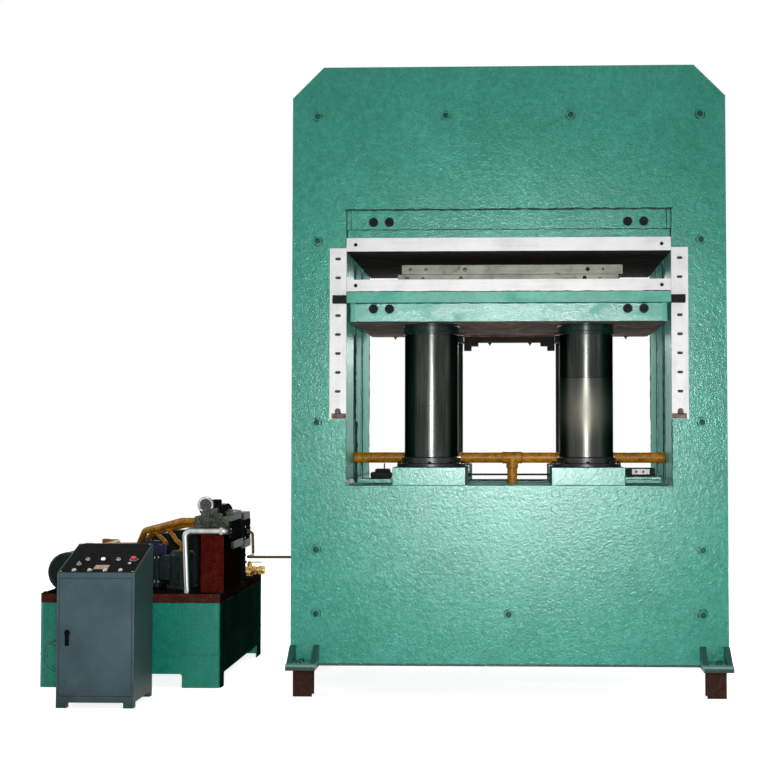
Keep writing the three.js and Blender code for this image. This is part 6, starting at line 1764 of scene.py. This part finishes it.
def lamp_finish(name, dark, light, glow=0.0):
    lens = Coating(name, {"Specular IOR Level": 0.6, "Coat Weight": 0.5, "Emission Strength": glow})
    tone = lens.tones(lens.grain(180), (0.35, dark), (0.65, light))
    lens.into(base_color=tone, roughness=0.18 + 0.2 * lens.grain(240), emission_color=tone)
    return lens


lit_lens = lamp_finish("lamp_lens_lit", rgb(238, 236, 226), rgb(252, 251, 246), 0.9)
dim_lens = lamp_finish("lamp_lens_dim", rgb(72, 80, 76), rgb(128, 134, 128))
plate_beige = even_finish(
    "blank_plate_beige", {"Specular IOR Level": 0.4, "Metallic": 0.2}, (36, 5, 0.65),
    ((0.32, rgb(150, 118, 94)), (0.68, rgb(196, 166, 140))), (0.36, 0.25, 80), (0.0003, 260, 2),
)

lamp_rings, blank, key_lock = Form(), Form(), Form()


def trim_ring(x, y, inner, outer, rim, face, tall, steps=40):
    """A chromed ring with a chamfered rim, pressed onto the panel."""
    profile = [(inner, 0), (outer, 0), (outer, rim), (face, tall), (inner, tall)]
    lamp_rings.turned(profile, on_console(x, y, PANEL), CONSOLE_UP, steps, closed=True)


LAMP_ROW = 0.43 * CONSOLE_LENGTH
lamp_glass = [
    (0, 0.0005), (0.0111, 0.0005), (0.0111, 0.0065), (0.0100, 0.0100), (0.0065, 0.0122), (0, 0.0130),
]
for share, lens in ((0.18, dim_lens), (-0.02, lit_lens), (-0.22, dim_lens)):
    x = CONSOLE_WIDTH * share
    trim_ring(x, LAMP_ROW, 0.0112, 0.0145, 0.003, 0.0130, 0.0055)
    glass = Form()
    glass.turned(lamp_glass, on_console(x, LAMP_ROW, PANEL), CONSOLE_UP, 36)
    make(f"console_lamp_{round(50 + 100 * share)}", glass, lens)
for x, y in button_places:
    trim_ring(x, y, 0.0105, 0.0138, 0.0022, 0.0128, 0.0036, 36)
trim_ring(*stop_place, 0.0188, 0.0228, 0.0020, 0.0214, 0.0032)
KEY_X, KEY_Y = 0.155, 0.304 * CONSOLE_LENGTH
key_lock.turned([
    (0, 0), (0.0098, 0), (0.0098, 0.004), (0.0085, 0.006), (0.0045, 0.006), (0.0045, 0.0048), (0, 0.0048),
], on_console(KEY_X, KEY_Y, PANEL), CONSOLE_UP, 32)
key_low, key_high = (KEY_X - 0.0006, KEY_Y - 0.0035, 0.0055), (KEY_X + 0.0006, KEY_Y + 0.0035, 0.0066)
key_lock.block(key_low, key_high, 0, CONSOLE)
make("console_rings", lamp_rings, chrome)
make("console_key_lock", key_lock, screw_steel)
blank.block((-0.029, 0.052, PANEL), (0.050, 0.110, 0.0024), 0.0004, CONSOLE)
rivet = [(0, 0), (0.0022, 0), (0.0016, 0.001), (0, 0.0012)]
for x in (-0.024, 0.045):
    for y in (0.057, 0.105):
        blank.turned(rivet, on_console(x, y, 0.0024), CONSOLE_UP, 16)
make("console_blank_plate", blank, plate_beige)

# Push buttons: four small white ones along the front edge, each on its own sprung stem. Moulded
# plastic, slightly domed, yellowed a little by oily fingers.


def moulded(name, dark, light):
    return even_finish(
        name, {"Specular IOR Level": 0.5}, (90, 4), ((0.34, dark), (0.66, light)),
        (0.34, 0.16, 200), (0.0002, 500, 2), 0.001,
    )


button_white = moulded("button_white", rgb(206, 204, 194), rgb(236, 235, 228))
stop_red = moulded("stop_red", rgb(176, 24, 32), rgb(222, 48, 52))
grip_grey = moulded("grip_grey", rgb(124, 126, 126), rgb(178, 180, 178))
push_button = [
    (0, -0.026), (0.0068, -0.026), (0.0068, 0.0052), (0.0098, 0.0052), (0.0100, 0.0060),
    (0.0098, 0.0105), (0.0085, 0.0118), (0.004, 0.0123), (0, 0.0124),
]
for number, (x, y) in enumerate(button_places, 1):
    button, node = Form(), f"push_button_{number}"
    button.turned(push_button, on_console(x, y), CONSOLE_UP, 36)
    make(node, button, button_white, f"button_{number}", (node,))

# Emergency stop: a red moulded mushroom head on a sprung stem, over a chromed ring. The stem
# passes through a hole in the panel.

mushroom = Form()
mushroom.turned([
    (0, -0.026), (0.0108, -0.026), (0.0108, 0.0072), (0.0165, 0.0076), (0.0180, 0.0100),
    (0.0178, 0.0135), (0.0150, 0.0178), (0.0090, 0.0197), (0, 0.0202),
], on_console(*stop_place), CONSOLE_UP, 48)
make("emergency_stop", mushroom, stop_red, "stop_button", ("emergency_stop",))

# Selector knob: a moulded skirt with a raised grip bar, pale grey with a dark pointer line,
# pressed onto a stem that turns to either side.

knob, knob_mark = Form(), Form()
knob.turned([
    (0, -0.026), (0.0058, -0.026), (0.0058, 0.0016), (0.0138, 0.0016), (0.0140, 0.0030),
    (0.0132, 0.0090), (0.0122, 0.0100), (0, 0.0100),
], on_console(*knob_place), CONSOLE_UP, 40)
kx, ky = knob_place
knob.block((kx - 0.0035, ky - 0.0120, 0.0090), (kx + 0.0035, ky + 0.0120, 0.0195), 0.0012, CONSOLE)
make("selector_knob", knob, grip_grey, "knob", ("selector_knob",))
knob_mark.block((kx - 0.0008, ky + 0.0030, 0.0190), (kx + 0.0008, ky + 0.0105, 0.0198), 0, CONSOLE)
make("selector_pointer", knob_mark, slot_dark, "knob")

# Door handle: a black die-cast swing handle over a round rose, turned on a spindle that goes
# through the door.

handle, dish = Form(), Form()
handle_place = (-1.6625, CABINET_Y, 0.412)
spindle = Matrix.Translation(handle_place)
handle.block((-0.0115, -0.0088, -0.070), (0.0115, -0.0012, 0.0175), 0.004, spindle)
handle.block((-0.0065, -0.0092, -0.066), (0.0065, -0.0080, -0.016), 0.0015, spindle)
handle.turned([
    (0, 0.0085), (0.0095, 0.0085), (0.0095, 0.0089), (0.004, 0.0089), (0.004, 0.0070), (0, 0.0070),
], handle_place, FORWARDS, 32)
handle.turned([(0, -0.019), (0.0055, -0.019), (0.0055, 0.003), (0, 0.003)], handle_place, FORWARDS, 28)
make("door_handle", handle, coil_black, "handle", ("door_handle",))
dish.turned([
    (0.0064, 0.0001), (0.0170, 0.0001), (0.0165, 0.0009), (0.0064, 0.0009),
], handle_place, FORWARDS, 40, closed=True)
make("door_handle_rose", dish, black_steel, "door")

# Component board: a zinc-plated sheet on standoffs inside the cabinet, carrying plain switchgear
# blocks. Only seen with the door open.

board_zinc = even_finish(
    "board_zinc", {"Metallic": 0.6}, (30, 5, 0.7), ((0.32, rgb(120, 122, 118)), (0.68, rgb(180, 182, 178))),
    (0.4, 0.2, 60), (0.0003, 220, 2), 0.0015,
)
dress(board_zinc, "component_board")
